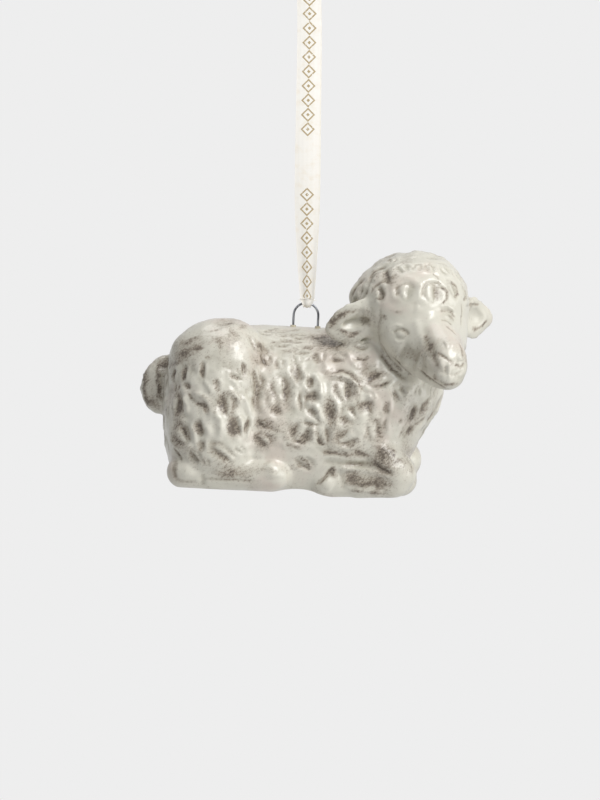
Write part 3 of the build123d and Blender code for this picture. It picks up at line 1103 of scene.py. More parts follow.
FORM_PULLS = (
    Pull(336, 313, 5.0, 1.7, -1.1), Pull(350, 306, 3.0, 0.3, -0.8), Pull(488, 303, 4.0, -1.2, -0.9),
    Pull(488, 330, 4.5, -0.9, 0.7), Pull(468, 290, 3.0, 1.2, 0.8), Pull(405, 254, 7.0, 0.0, -0.8),
    Pull(357, 295, 4.5, -2.0, 0.3), Pull(176, 350, 5.0, -0.9, 0.9), Pull(222, 323, 6.0, 0.0, -0.7),
    Pull(163, 444, 5.0, 1.2, 0.0), Pull(146, 410, 3.5, 0.9, 0.8), Pull(148, 362, 3.5, 0.8, -0.4),
    Pull(322, 491, 4.0, 0.0, -0.8), Pull(352, 494, 5.0, 0.0, -0.5), Pull(230, 490, 8.0, 0.0, 0.5),
    Pull(408, 488, 4.0, -0.5, 0.4),
)
FLANK_TUFTS = (
    Tuft(282, 390, 2.8, 3.9, 6, 8, -0.25), Tuft(344, 390, 2.7, 2.8, 0, 14, -0.25, 1.0, 0.9),
    Tuft(301, 433, 2.9, 2.6, 0, -30, -0.1, 0.8, 1.0), Tuft(375, 430, 2.5, 2.7, 0, 3, -0.3, 1.05),
    Tuft(348, 416, 2.4, 3.0, -8, 62, 0.1, 0.95), Tuft(347, 437, 3.0, 2.2, 0, -58, 0.05, 0.95, 0.8),
    Tuft(331, 411, 1.7, 3.6, 10, 0, 1.3, 1.15, 0.3), Tuft(366, 404, 2.3, 3.0, 12, 80, 0.55, 0.85, 0.5),
    Tuft(378, 381, 2.9, 2.2, -15, -40, 0.0, 0.8, 0.5), Tuft(398, 393, 1.8, 2.4, 0, 35, 0.2, 0.8),
    Tuft(323, 433, 1.9, 2.8, 12, 8, -0.1, 0.55), Tuft(297, 372, 1.8, 3.0, 8, 0, 1.2, 0.9),
    Tuft(310, 382, 1.0, 1.9, 0, 0, 1.2, 0.95), Tuft(313, 396, 1.6, 1.6, 0, 20, 1.2, 1.1),
    Tuft(303, 400, 1.4, 2.5, -5, 0, 0.1, 0.6), Tuft(312, 411, 1.5, 1.5, 0, 20, 1.0, 0.8),
    Tuft(312, 422, 2.0, 1.5, 10, 60, 0.2, 0.85), Tuft(261, 400, 2.1, 3.1, 0, -8, 0.2, 0.65),
    Tuft(266, 425, 2.9, 1.4, -22, 70, 0.4, 1.0), Tuft(264, 440, 2.7, 1.7, -8, 40, 0.1, 1.05),
    Tuft(280, 364, 1.5, 1.6, 0, 10, 0.1, 0.75), Tuft(265, 359, 1.4, 1.7, 10, -10, 0.2, 0.6),
    Tuft(258, 377, 1.4, 2.6, 0, 0, 0.1, 0.35), Tuft(275, 409, 1.7, 1.9, 0, 30, 1.0, 0.7),
    Tuft(339, 358, 2.0, 1.3, 0, 50, 0.2, 0.8), Tuft(362, 346, 2.0, 1.1, 10, 70, 0.3, 0.7),
    Tuft(305, 463, 2.4, 1.5, -15, 60, 0.2, 0.7), Tuft(418, 391, 1.2, 1.3, 0, 0, 0.0, 0.5),
    Tuft(413, 414, 1.0, 2.0, -18, 0, -1.1, 0.8), Tuft(426, 406, 1.4, 2.7, -35, 0, 0.9, 0.8),
    Tuft(411, 431, 1.3, 1.3, -30, 0, 0.9, 0.6), Tuft(433, 392, 1.2, 1.3, -20, 0, 0.0, 0.5),
    Tuft(387, 408, 1.1, 1.5, 0, 0, 0.9, 0.9), Tuft(386, 424, 0.9, 1.6, 0, 0, 0.9, 0.6),
    Tuft(400, 421, 0.7, 0.7, 0, 0, 1.1, 0.9), Tuft(178, 404, 2.0, 2.9, 6, 4, -0.65, 1.1, 0.5),
    Tuft(181, 435, 2.9, 2.8, 12, 32, -0.1, 0.9, 0.5), Tuft(227, 404, 2.3, 3.0, 5, 0, 0.15, 0.85),
    Tuft(234, 427, 1.9, 2.9, 6, 0, 1.2, 1.1), Tuft(199, 427, 1.6, 1.9, 0, 10, 1.1, 1.05),
    Tuft(203, 370, 0.9, 2.0, 0, 0, 1.2, 1.0), Tuft(184, 374, 1.0, 1.9, 0, 0, 1.2, 0.95),
    Tuft(174, 375, 1.0, 1.6, -10, 0, 1.2, 0.75), Tuft(217, 385, 0.8, 1.7, 22, 0, 1.2, 0.95),
    Tuft(177, 388, 1.5, 0.9, 0, 0, 0.0, 0.7), Tuft(187, 386, 1.2, 0.9, -10, 0, 1.2, 0.9),
    Tuft(206, 408, 0.8, 1.4, 15, 0, 1.2, 0.8), Tuft(222, 453, 3.8, 1.9, -28, 70, 0.3, 0.8, 0.3),
    Tuft(202, 446, 1.2, 1.5, 0, 0, 1.0, 0.85), Tuft(195, 456, 1.6, 2.2, 20, 0, 0.2, 0.5),
    Tuft(206, 462, 1.1, 0.8, 0, 0, 0.0, 1.0), Tuft(247, 426, 0.9, 2.0, -14, 0, -1.1, 0.8),
    Tuft(236, 376, 1.7, 1.1, -10, 60, 0.4, 0.7), Tuft(244, 369, 0.9, 1.6, 0, 0, 1.1, 0.8),
    Tuft(268, 349, 1.6, 1.8, 0, 10, 0.3, 0.5, 0.4, 0.4),
    Tuft(285, 343, 2.3, 1.3, 20, 60, 0.0, 0.5, 0.4, 0.35),
    Tuft(303, 351, 2.3, 1.6, 20, 50, 0.2, 0.55, 0.4, 0.4),
    Tuft(296, 358, 1.5, 1.3, 0, 0, 0.3, 0.5, 0.4, 0.4),
    Tuft(319, 356, 1.6, 2.0, 0, 10, 0.2, 0.5, 0.5, 0.45),
    Tuft(266, 333, 2.2, 1.0, 10, 60, 0.0, 0.55, 0.3, 0.3),
    Tuft(283, 331, 1.8, 0.9, 10, 60, 0.2, 0.5, 0.3, 0.3),
    Tuft(301, 336, 2.2, 1.2, 15, 60, 0.0, 0.5, 0.4, 0.35),
    Tuft(318, 336, 2.0, 1.0, 15, 60, 0.0, 0.5, 0.4, 0.35),
    Tuft(254, 343, 1.3, 2.0, 0, 0, 0.2, 0.5, 0.4, 0.35), Tuft(163, 388, 0.8, 3.2, 0, 0, 0.0, 1.0),
    Tuft(164, 421, 1.1, 2.0, 14, 0, 0.0, 0.7), Tuft(240, 450, 1.6, 1.0, -20, 60, 0.2, 0.4),
    Tuft(168, 412, 0.9, 1.3, 0, 0, 0.0, 0.8),
)
CAP_TUFTS = (
    Tuft(406, 290, 2.7, 2.5, 0, 4, -0.3, 0.42, 0.8), Tuft(434, 292, 2.7, 2.7, 0, 4, -0.45, 0.62, 0.9),
    Tuft(453, 290, 1.6, 2.4, 12, 0, -0.3, 0.6, 0.6), Tuft(464, 291, 1.1, 2.1, 12, 0, -0.2, 0.5, 0.6),
    Tuft(417, 268, 1.6, 1.3, 0, 0, 0.0, 0.5, 0.6), Tuft(430, 268, 1.8, 1.4, 0, 0, 0.1, 0.45, 0.6),
    Tuft(445, 270, 1.9, 1.7, 20, 0, 0.0, 0.4, 0.6), Tuft(459, 277, 1.3, 1.8, 25, 0, 0.0, 0.4, 0.6),
    Tuft(388, 274, 2.0, 2.2, 0, 20, 0.5, 0.85, 0.4), Tuft(380, 294, 1.3, 1.9, 15, 0, -0.9, 1.05, 0.5),
    Tuft(373, 280, 1.4, 1.9, -10, 0, 0.4, 0.7, 0.5), Tuft(403, 268, 1.9, 1.7, 0, 30, 0.0, 0.4, 0.5),
    Tuft(364, 290, 1.7, 2.0, -20, 0, 0.1, 0.4, 0.5), Tuft(392, 260, 1.5, 1.0, -20, 30, 0.2, 0.55, 0.4),
    Tuft(432, 258, 1.5, 0.7, 0, 60, 0.0, 0.5, 0.4),
)
FLEECE_LINES = (
    Line(((203, 380), (209, 387), (214, 394)), 0.55, 0.45),
    Line(((192, 394), (200, 394), (207, 399), (211, 405)), 0.8, 0.6),
    Line(((188, 392), (192, 399), (199, 404), (206, 405)), 0.45, -0.45, 0.9),
    Line(((222, 393), (230, 391), (237, 397), (241, 406)), 0.7, 0.45),
    Line(((205, 413), (214, 413), (220, 420), (221, 430), (217, 438)), 0.8, 0.7),
    Line(((206, 423), (209, 430), (208, 438)), 0.7, 0.35),
    Line(((243, 396), (247, 405), (253, 417)), 0.75, 0.55),
    Line(((255, 418), (250, 428), (245, 441)), 0.5, 0.4),
    Line(((241, 415), (242, 425), (241, 436)), 0.5, 0.4),
    Line(((183, 395), (188, 405), (187, 417)), 0.6, 0.5),
    Line(((168, 368), (166, 382), (166, 396), (169, 410)), 0.4, 0.45),
    Line(((161, 364), (158, 380), (159, 396), (162, 405)), 0.4, 0.45),
    Line(((172, 447), (183, 448), (195, 444)), 0.8, 0.5),
    Line(((174, 448), (179, 455), (183, 461)), 0.4, -0.4, 1.0),
    Line(((190, 452), (194, 458), (199, 463)), 0.35, -0.3, 0.8),
    Line(((231, 380), (236, 385), (240, 392)), 0.5, 0.4),
    Line(((189, 424), (195, 434), (197, 446)), 0.7, 0.45),
    Line(((180, 426), (186, 434), (191, 441)), 0.35, -0.3, 1.0),
    Line(((300, 386), (304, 380), (309, 374)), 0.55, 0.5),
    Line(((290, 376), (294, 382), (297, 389)), 0.35, 0.35),
    Line(((314, 371), (318, 380), (321, 390), (320, 399)), 0.9, 0.75),
    Line(((324, 361), (325, 367), (324, 373)), 0.75, 0.6),
    Line(((293, 388), (295, 398), (294, 409)), 0.8, 0.4),
    Line(((315, 402), (319, 411), (321, 420)), 0.65, 0.55),
    Line(((259, 414), (265, 406), (274, 403)), 0.7, 0.6),
    Line(((257, 420), (265, 421), (275, 428)), 0.4, -0.25, 1.0),
    Line(((284, 445), (292, 446), (300, 448)), 0.35, -0.25, 0.9),
    Line(((293, 441), (303, 443), (310, 439)), 0.4, -0.35, 0.9),
    Line(((310, 424), (313, 432), (310, 440)), 0.55, 0.6),
    Line(((317, 438), (321, 444), (327, 445)), 0.35, -0.3, 0.9),
    Line(((331, 373), (341, 371), (351, 373), (358, 381), (360, 393)), 0.38, -0.35, 0.95),
    Line(((331, 381), (341, 376), (351, 379), (356, 387), (355, 398)), 0.8, 0.6),
    Line(((347, 350), (350, 357), (354, 364), (359, 371)), 0.5, 0.5),
    Line(((355, 358), (362, 359), (370, 357)), 0.38, -0.35, 1.1),
    Line(((372, 388), (380, 385), (391, 381)), 0.4, -0.4, 1.1),
    Line(((369, 386), (374, 377), (382, 371)), 0.35, -0.3, 0.9),
    Line(((376, 392), (384, 389), (394, 385)), 0.6, 0.45),
    Line(((340, 403), (335, 415), (337, 428)), 0.55, 0.45),
    Line(((336, 449), (348, 449), (358, 443), (361, 433)), 0.55, 0.45),
    Line(((366, 396), (374, 400), (378, 394)), 0.5, 0.5),
    Line(((404, 386), (406, 393), (403, 401)), 0.5, 0.4),
    Line(((420, 432), (429, 419), (438, 405)), 0.35, -0.25, 0.8),
    Line(((398, 437), (403, 431)), 0.35, -0.2, 0.8),
    Line(((415, 424), (420, 422), (424, 418)), 0.35, -0.2, 0.9),
    Line(((320, 452), (334, 453), (345, 456)), 0.5, -0.2, 0.8),
    Line(((354, 452), (360, 453), (366, 456)), 0.6, -0.2, 0.9),
    Line(((320, 461), (345, 464), (372, 466)), 0.9, -0.4, 0.35),
    Line(((298, 458), (305, 461), (311, 467)), 0.35, -0.25, 0.9),
    Line(((296, 467), (304, 466), (312, 469)), 0.35, -0.25, 0.8),
    Line(((251, 345), (254, 370), (256, 395)), 1.6, -0.35),
    Line(((386, 302), (400, 302), (420, 304), (440, 305), (456, 309)), 1.0, -0.3),
    Line(((396, 298), (396, 289), (401, 284), (409, 284), (416, 289)), 0.36, -0.3, 0.6, 0.36, 0.1),
    Line(((424, 299), (422, 291), (425, 284), (433, 282), (440, 284)), 0.4, -0.35, 0.75, 0.4, 0.1),
    Line(((441, 287), (446, 292), (447, 299), (443, 303)), 0.36, -0.3, 1.1, 0.5, 0.1),
    Line(((451, 281), (457, 287), (458, 294), (453, 298)), 0.36, -0.3, 1.1, 0.4, 0.1),
    Line(((463, 284), (467, 290), (467, 297), (463, 300)), 0.36, -0.3, 0.9, 0.36, 0.1),
    Line(((456, 271), (461, 276), (464, 283)), 0.36, -0.3, 0.7, 0.36, 0.1),
    Line(((436, 264), (444, 264), (451, 270), (454, 277)), 0.36, -0.3, 0.7, 0.36, 0.1),
    Line(((432, 273), (437, 276), (440, 281)), 0.36, -0.25, 0.6),
    Line(((413, 270), (416, 264), (421, 265), (423, 270)), 0.36, -0.25, 0.6),
    Line(((424, 267), (430, 264), (436, 268)), 0.36, -0.25, 0.55),
    Line(((376, 289), (381, 292), (381, 298), (375, 301)), 0.4, -0.35, 1.1),
)
FACE_LINES = (
    Line(((351, 299), (354, 290), (359, 283), (366, 279)), 0.5, -0.4, 0.8, 0.45),
    Line(((367, 284), (371, 275), (378, 269), (387, 267)), 0.5, -0.4, 0.75, 0.45),
    Line(((370, 294), (376, 285), (385, 281), (392, 284)), 0.5, -0.4, 0.85, 0.45),
    Line(((356, 296), (361, 288), (367, 285)), 0.8, 0.45),
    Line(((373, 283), (378, 276), (385, 273)), 0.8, 0.45),
    Line(((381, 303), (380, 320), (380, 345), (384, 360)), 0.5, -0.15, 0.55, 0.6),
    Line(((392, 333), (396, 330), (401, 329), (406, 331), (409, 335)), 0.38, -0.22, 0.5, 0.5, 0.1),
    Line(((395, 337), (399, 339), (403, 338)), 0.34, -0.1, 0.2, 0.4, 0.1),
    Line(((387, 334), (390, 328), (396, 325), (404, 326)), 0.42, 0.26, 0.2),
    Line(((393, 340), (398, 342), (405, 341)), 0.4, 0.14),
    # wide shallow hollow on the cheek; through the relief it also darkens the glaze there as painted shade
    Line(((399, 347), (409, 355), (419, 362)), 2.6, -0.55),
    Line(((440, 311), (447, 310), (452, 312), (455, 317)), 0.4, -0.2, 0.7, 0.45, 0.1),
    Line(((441, 320), (447, 320), (452, 325)), 0.34, -0.2, 0.7, 0.34, 0.1),
    Line(((438, 307), (447, 305), (455, 311)), 0.5, 0.28),
    Line(((445, 325), (450, 329), (457, 336)), 0.34, -0.18, 0.8),
    Line(((461, 302), (462, 314), (461, 327)), 0.34, -0.15, 0.7),
    Line(((437, 353), (443, 356), (448, 360), (453, 363)), 0.4, -0.24, 0.75, 0.45, 0.15),
    Line(((459, 343), (462, 350), (462, 358)), 0.34, -0.2, 0.7),
    Line(((454, 364), (460, 367), (465, 363)), 0.36, -0.18, 0.6),
    Line(((449, 363), (449, 371), (449, 379)), 0.34, 0.22),
    Line(((445, 365), (445, 374)), 0.34, -0.18, 0.2),
    Line(((432, 352), (434, 360), (438, 368)), 1.0, -0.4, 0.45, 0.8),
    Line(((439, 369), (445, 374), (455, 375), (462, 370)), 0.4, -0.1, 0.3),
    Line(((440, 357), (441, 363), (444, 368)), 0.8, 0.35),
    Line(((418, 369), (425, 375), (433, 381), (441, 386), (450, 389)), 0.5, -0.35, 1.0, 0.45),
    Line(((420, 325), (426, 338), (431, 350), (433, 362)), 1.4, -0.38),
    Line(((414, 318), (419, 330), (424, 342)), 1.2, 0.3),
    Line(((382, 344), (382, 356), (392, 369), (407, 381)), 0.6, -0.3, 0.95, 0.45),
    Line(((392, 356), (399, 363), (406, 370), (414, 377)), 0.4, -0.2, 0.9),
    Line(((386, 353), (395, 364), (404, 373)), 0.35, -0.15, 0.7),
    Line(((333, 325), (338, 317), (346, 312), (358, 311), (369, 311)), 0.5, -0.2, 0.45, 0.6),
    Line(((444, 345), (449, 344), (455, 347)), 1.3, 0.4),
    Line(((457, 353), (460, 357), (461, 361)), 0.9, 0.35),
    Line(((436, 372), (444, 379), (452, 382)), 1.4, 0.3),
    Line(((413, 306), (426, 308), (436, 316)), 2.2, 0.3),
    Line(((333, 320), (340, 312), (350, 306), (362, 304)), 0.8, 0.35),
    # groove in the near ear's bowl; its light wash is partly painted shade on the bowl's upper wall
    Line(((341, 325), (350, 322), (361, 320), (372, 320)), 0.75, -0.6, 0.22, 0.7),
    Line(((337, 329), (348, 329), (359, 328), (370, 329)), 0.65, 0.45),
    Line(((336, 329), (345, 332), (354, 333), (362, 331)), 0.34, -0.15, 0.8),
    Line(((466, 306), (471, 305), (479, 304)), 0.36, -0.3, 1.0, 0.36, 0.1),
    Line(((474, 331), (482, 326), (488, 319)), 0.36, -0.1, 1.0, 0.4),
    Line(((472, 291), (480, 299), (486, 309)), 0.4, 0.2, 0.5),
)
FOOT_LINES = (
    Line(((334, 467), (329, 472), (323, 480), (315, 486)), 0.5, -0.55, 1.0, 0.5),
    Line(((340, 470), (342, 480), (345, 492)), 0.7, -0.25, 0.25, 0.5),
    Line(((373, 462), (379, 467), (386, 471), (394, 475)), 0.5, -0.4, 0.9, 0.5),
    Line(((337, 468), (350, 469), (366, 471), (394, 477)), 0.62, 0.75),
    Line(((378, 461), (388, 466), (397, 471)), 0.7, 0.35),
    Line(((199, 479), (230, 480), (258, 481)), 0.5, -0.2, 0.45, 0.4),
    Line(((176, 457), (173, 468), (177, 479), (186, 482), (198, 482)), 0.5, -0.2, 0.5, 0.5),
    Line(((201, 474), (203, 480), (202, 486)), 0.7, -0.35, 0.3),
    Line(((186, 462), (188, 470), (190, 478)), 1.8, 0.45),
    Line(((266, 462), (273, 470), (274, 479)), 1.8, 0.6),
    Line(((348, 480), (366, 481), (388, 483)), 1.6, -0.3),
    Line(((342, 463), (360, 464), (376, 465)), 0.6, -0.35, 0.3, 0.5),
    Line(((346, 490), (366, 491), (386, 493)), 0.7, 0.3),
    Line(((322, 478), (327, 484), (333, 488)), 1.5, 0.5),
    Line(((236, 457), (225, 463), (212, 472)), 0.6, 0.3),
    Line(((265, 456), (258, 456), (245, 456)), 0.9, 0.25),
    Line(((405, 457), (412, 468), (411, 482)), 0.4, -0.12, 0.5, 0.3),
)
SMUDGES = (
    # Smudge(331, 344) is painted shadow under the near ear, not wash
    Smudge(331, 344, 3.6, 2.3, -12, 0.85), Smudge(184, 354, 2.4, 1.2, 30, 0.9),
    Smudge(176, 364, 1.9, 0.6, 12, 1.0), Smudge(190, 340, 3.0, 0.7, 28, 0.75),
    Smudge(197, 349, 0.8, 0.6, 0, 1.0), Smudge(208, 357, 0.7, 0.5, 0, 0.8),
    Smudge(219, 343, 0.8, 1.3, 20, 0.8), Smudge(232, 332, 1.0, 1.6, 20, 0.55),
    Smudge(229, 324, 2.0, 0.6, 10, 0.8), Smudge(244, 326, 1.6, 0.7, 20, 0.7),
    Smudge(213, 330, 2.4, 0.6, 15, 0.55), Smudge(261, 346, 0.9, 1.0, 20, 1.1),
    Smudge(274, 343, 0.5, 0.6, 0, 1.0), Smudge(297, 342, 2.0, 0.5, 0, 0.8),
    Smudge(286, 351, 2.2, 0.7, 22, 0.5), Smudge(306, 349, 1.8, 0.7, 25, 0.55),
    Smudge(258, 362, 1.0, 0.8, 0, 0.5), Smudge(318, 338, 2.4, 1.1, 0, 0.6),
    Smudge(387, 462, 3.6, 2.9, -40, 0.85), Smudge(384, 452, 1.5, 2.0, 0, 0.7),
    Smudge(373, 484, 4.4, 0.9, -3, 0.7), Smudge(350, 478, 1.5, 1.4, 0, 0.65),
    Smudge(333, 473, 1.1, 1.0, 0, 1.1), Smudge(357, 492, 1.6, 0.5, 0, 0.9),
    Smudge(374, 493, 1.7, 0.5, 0, 0.8), Smudge(394, 453, 0.7, 0.7, 0, 0.8),
    Smudge(400, 460, 0.9, 0.6, 0, 0.8), Smudge(233, 472, 5.0, 1.6, 3, 0.75),
    Smudge(268, 471, 3.0, 1.0, 0, 0.5), Smudge(290, 468, 2.0, 1.0, 0, 0.45),
    Smudge(175, 470, 0.8, 2.4, 0, 0.7), Smudge(360, 454, 1.7, 0.8, 0, 0.9),
    Smudge(346, 455, 1.4, 0.5, 0, 0.8), Smudge(329, 452, 2.0, 0.5, 0, 0.7),
    Smudge(357, 465, 2.6, 0.5, 5, 0.7), Smudge(427, 335, 0.8, 0.8, 0, 0.85),
    Smudge(431, 346, 1.0, 1.0, 0, 0.85), Smudge(429, 341, 1.4, 2.2, 10, 0.35),
    Smudge(398, 311, 1.9, 0.5, 0, 0.75), Smudge(384, 316, 0.7, 0.9, 0, 1.1),
    Smudge(450, 317, 0.9, 0.9, 0, 0.7), Smudge(405, 334, 1.2, 1.2, -20, 0.3),
    Smudge(384, 348, 0.6, 2.0, 0, 0.6), Smudge(448, 384, 2.2, 0.8, -15, 0.9),
    Smudge(436, 379, 1.2, 0.8, 0, 0.6), Smudge(343, 315, 2.2, 1.0, 30, 0.8),
    Smudge(331, 322, 0.6, 1.8, -15, 0.8), Smudge(343, 331, 0.5, 0.5, 0, 0.8),
    Smudge(352, 335, 2.0, 0.5, 0, 0.85), Smudge(474, 330, 1.4, 0.7, 25, 0.8),
    # the narrow upright smudges at x 144 to 158 on the tail and at x 164 to 168 along the left edge of the
    # rump darken the side away from the light: partly wash, partly painted shade
    Smudge(484, 324, 1.0, 0.4, 35, 0.8), Smudge(144, 385, 0.9, 5.0, 0, 1.3),
    Smudge(150, 364, 1.8, 0.7, 45, 1.0), Smudge(158, 382, 0.5, 5.0, 0, 1.2),
    Smudge(190, 349, 4.2, 1.6, 28, 0.15), Smudge(182, 372, 3.0, 1.6, 20, 0.25),
    Smudge(214, 339, 3.5, 1.0, 20, 0.3), Smudge(165, 388, 0.9, 5.0, 0, 0.5),
    Smudge(164, 432, 0.8, 4.5, 0, 0.7), Smudge(168, 458, 0.8, 3.0, 0, 0.6),
    # Smudge(326, 346) widens the painted shadow under the near ear
    Smudge(326, 346, 5.0, 2.2, 0, 0.4), Smudge(368, 481, 6.0, 1.7, -4, 0.5),
    Smudge(286, 336, 4.0, 1.0, 0, 0.45), Smudge(280, 398, 3.2, 4.5, 0, 0.15),
    Smudge(295, 330, 1.8, 0.5, 25, 0.6), Smudge(324, 337, 2.2, 0.5, 25, 0.6),
    Smudge(272, 330, 2.0, 0.4, 20, 0.6), Smudge(178, 420, 2.5, 5.0, 0, 0.2),
    Smudge(310, 358, 1.6, 0.6, 30, 0.6), Smudge(151, 402, 1.8, 1.0, -25, 0.8),
    Smudge(391, 279, 1.9, 2.3, 0, 0.7), Smudge(373, 273, 1.2, 1.2, 0, 0.6),
    Smudge(354, 293, 0.9, 1.6, -20, 0.55), Smudge(408, 262, 2.0, 0.8, 0, 0.35),
    Smudge(437, 294, 1.0, 1.6, 0, 0.5),
)


@dataclass(frozen=True)
class FleeceBounds:
    """Where the fleece starts and where it is full, as pairs of lengths on the casting as it stands.

    The cap and the face are measured from the head's middle and along its own directions.
    """

    cap_front: Range = (8 * MM, 5 * MM)
    cap_hem: Range = (-9 * MM, -6 * MM)
    cap_depth: Range = (1.2 * MM, 0.6 * MM)     # off the cap's own ball
    head: Range = (17 * MM, 19 * MM)
    feet: Range = (10 * MM, 12 * MM)
    back: Range = (40 * MM, 35 * MM)
    belly: float = -0.6                         # outward Z above which the skin carries fleece
    haunch_x: Range = (-6 * MM, -10 * MM)
    haunch_z: Range = (31 * MM, 35 * MM)
    shin_x: Range = (7 * MM, 9 * MM)
    shin_z: Range = (16 * MM, 14 * MM)
    ear_x: Range = (8 * MM, 12 * MM)
    ear_z: Range = (41 * MM, 43 * MM)
    face: Range = (19 * MM, 17 * MM)
    cap_radius: float = 14.8 * MM


@dataclass(frozen=True)
class Scatter:
    """Chances of the tufts on the sides that the picture doesn't show."""

    seed: int = 7
    tries: int = 6000
    room: float = 1.12                          # least distance, in radii of both tufts together
    wool: float = 0.6                           # least depth of the fleece
    radius: Range = (1.2, 3.3)                  # millimetres
    slim: Range = (0.75, 1.1)
    lean: Range = (-25, 25)
    leaf: Range = (-60, 60)
    shift: Range = (-1.1, 1.1)
    wash: Range = (0.2, 0.85)
    rim: Range = (0.3, 0.9)
    depth: Range = (0.3, 0.65)


@dataclass
class SheepFigure:
    """The glazed casting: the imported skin, thickened with fleece, face, ears and feet."""

    voxel: float = 0.48 * MM
    merge: float = 0.002 * MM
    smoothing: int = 6
    pixel: float = 0.26 * MM                    # of the photograph, at the wire loop
    crown_pixel: Range = (306.0, 303.0)
    vent_place: Vector = field(default_factory=lambda: Vector((-9.936 * MM, SIDE_SHIFT, 0.0)))
    vent_radius: float = 1.7 * MM
    vent_depth: float = 1.4 * MM
    back_height: float = 43.2 * MM
    wall: float = 3.0 * MM
    hole_radius: float = 0.75 * MM
    hole_plug: float = 0.8                      # length of a hole's plug, as a share of the wall
    plug_width: float = 1.3                     # width of a plug, as a share of its hole
    plug_sides: int = 24
    face_from: tuple[float, ...] = (10 * MM, -11 * MM, -18.5 * MM)
    face_to: tuple[float, ...] = (math.inf, 11 * MM, 2 * MM)
    shown_limit: float = -0.15                  # outward Y below which the photograph shows the skin
    full_relief: float = 0.8 * MM
    fleece_waver: Range = (0.5 * MM, 2.8 * MM)
    brush_waver: Range = (0.9 * MM, 2.2 * MM)
    swells: tuple[Range, ...] = ((1.0, 6.5 * MM), (0.65, 2.7 * MM), (0.3, 1.3 * MM))
    swell: float = 0.45 * MM
    eyes: tuple[Eye, ...] = (Eye(400.5, 334, 1.15, 0.72, -14), Eye(447.5, 317, 0.95, 0.7, -30))
    socket_size: Range = (2.3, 2.5)             # of the ball's half sizes
    socket_depth: float = 0.35
    ball_height: float = 0.36
    ball_power: float = 2.4
    drift_reach: float = 6 * MM
    drift_start: Vector = field(default_factory=lambda: Vector((3, 7, 1)))
    drift_range: Range = (-0.1, 0.4)
    film: float = 0.22                          # wash that stays everywhere
    drift: float = 0.34
    clean_face: float = 0.55
    brushed_film: float = 0.1
    hollow_wash: float = 0.4
    hollow_range: Range = (0.42, 0.1)
    bounds: FleeceBounds = FleeceBounds()
    chances: Scatter = Scatter()
    studio: Studio = field(default_factory=Studio)

    def build(self) -> bpy.types.Object:
        """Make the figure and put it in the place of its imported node.

        Returns:
            The finished piece.
        """
        obj = self.skin()
        Sculpture(obj).smooth(self.smoothing)
        self.refine_head(obj)
        self.clay = Sculpture(obj)
        self.clay.pull([(c, p) for p in FORM_PULLS if (c := self.seen(p.x, p.y))])
        self.wool, self.brushed, self.face = self.find_wool()
        self.lay_fleece()
        self.work_lines(FACE_LINES + FOOT_LINES)
        self.shape_eyes()
        self.clay.apply(self.full_relief)
        self.brush_wash()
        self.clay.dress(Glaze().material())
        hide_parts("sheep_body")
        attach(obj, Body.SHEEP.value)
        log.info("sheep figure: %d points, %d faces", len(obj.data.vertices), len(obj.data.polygons))
        return obj

    def skin(self) -> bpy.types.Object:
        """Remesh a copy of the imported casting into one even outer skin.

        Returns:
            The skin as a new object.
        """
        bm = bmesh.new()
        bm.from_mesh(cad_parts["sheep_body"].data)
        bmesh.ops.remove_doubles(bm, verts=bm.verts, dist=self.merge)
        plug_height = self.wall - self.vent_depth
        self.stop_hole(bm, self.vent_place + Vector((0, 0, self.vent_depth + plug_height / 2)),
                       self.vent_radius, plug_height)
        for side in Side:
            place = Vector((side.value * ARCH_RADIUS, 0, self.back_height - self.wall / 2))
            self.stop_hole(bm, place, self.hole_radius, self.wall * self.hole_plug)
        rough = stand("packed_copy", keep(bm, bpy.data.meshes.new("packed_copy")))
        remesh = rough.modifiers.new("skin", "REMESH")
        remesh.mode = "VOXEL"
        remesh.voxel_size = self.voxel
        depsgraph = bpy.context.evaluated_depsgraph_get()
        skin = bpy.data.meshes.new_from_object(rough.evaluated_get(depsgraph))
        skin.name = "sheep_figure"
        bpy.data.objects.remove(rough)
        return stand("sheep_figure", skin)

    def stop_hole(self, bm: bmesh.types.BMesh, place: Vector, radius: float, depth: float) -> None:
        """Stop a hole of the casting with a short plug, so that the hollow inside is closed off.

        Args:
            bm: The casting.
            place: The plug's middle on the casting as it stands.
            radius: The hole's radius.
            depth: The plug's length.
        """
        width = radius * self.plug_width
        bmesh.ops.create_cone(bm, cap_ends=True, segments=self.plug_sides, radius1=width, radius2=width,
                              depth=depth, matrix=STANDING @ Matrix.Translation(place))

    def refine_head(self, obj: bpy.types.Object) -> None:
        """Divide the side of the face that is seen more finely, for the eye, the nose and the mouth.

        Args:
            obj: The skin.
        """
        bm = bmesh.new()
        bm.from_mesh(obj.data)
        inward = HEAD.inverted()
        chosen = []
        for edge in bm.edges:
            place = inward @ edge.verts[0].co
            inside = all(low < value < high for low, value, high in zip(self.face_from, place, self.face_to))
            if inside and edge.verts[0].normal.y < self.shown_limit:
                chosen.append(edge)
        bmesh.ops.subdivide_edges(bm, edges=chosen, cuts=1, use_grid_fill=True, smooth=0.0)
        even_out(bm)
        keep(bm, obj.data)

    def seen(self, x: float, y: float) -> Contact | None:
        """Find the skin at a place of the photograph.

        Args:
            x: Pixels from its left edge.
            y: Pixels from its top edge.

        Returns:
            The contact, or None beside the figure.
        """
        eye = self.studio.eye()
        right = (x - self.crown_pixel[0]) * self.pixel
        below = (y - self.crown_pixel[1]) * self.pixel
        return self.clay.contact(eye, CROWN + Vector((right, 0.0, -below)) - eye)

    def work_lines(self, lines: Sequence[Line]) -> None:
        """Work lines along places of the photograph.

        Args:
            lines: The lines, in the order in which they are drawn.
        """
        for line in lines:
            contacts = [c for c in (self.seen(*place) for place in line.route) if c]
            if len(contacts) > 1:
                out = sum((c.out for c in contacts), Vector()).normalized()
                self.clay.stroke([c.point for c in contacts], out, line)

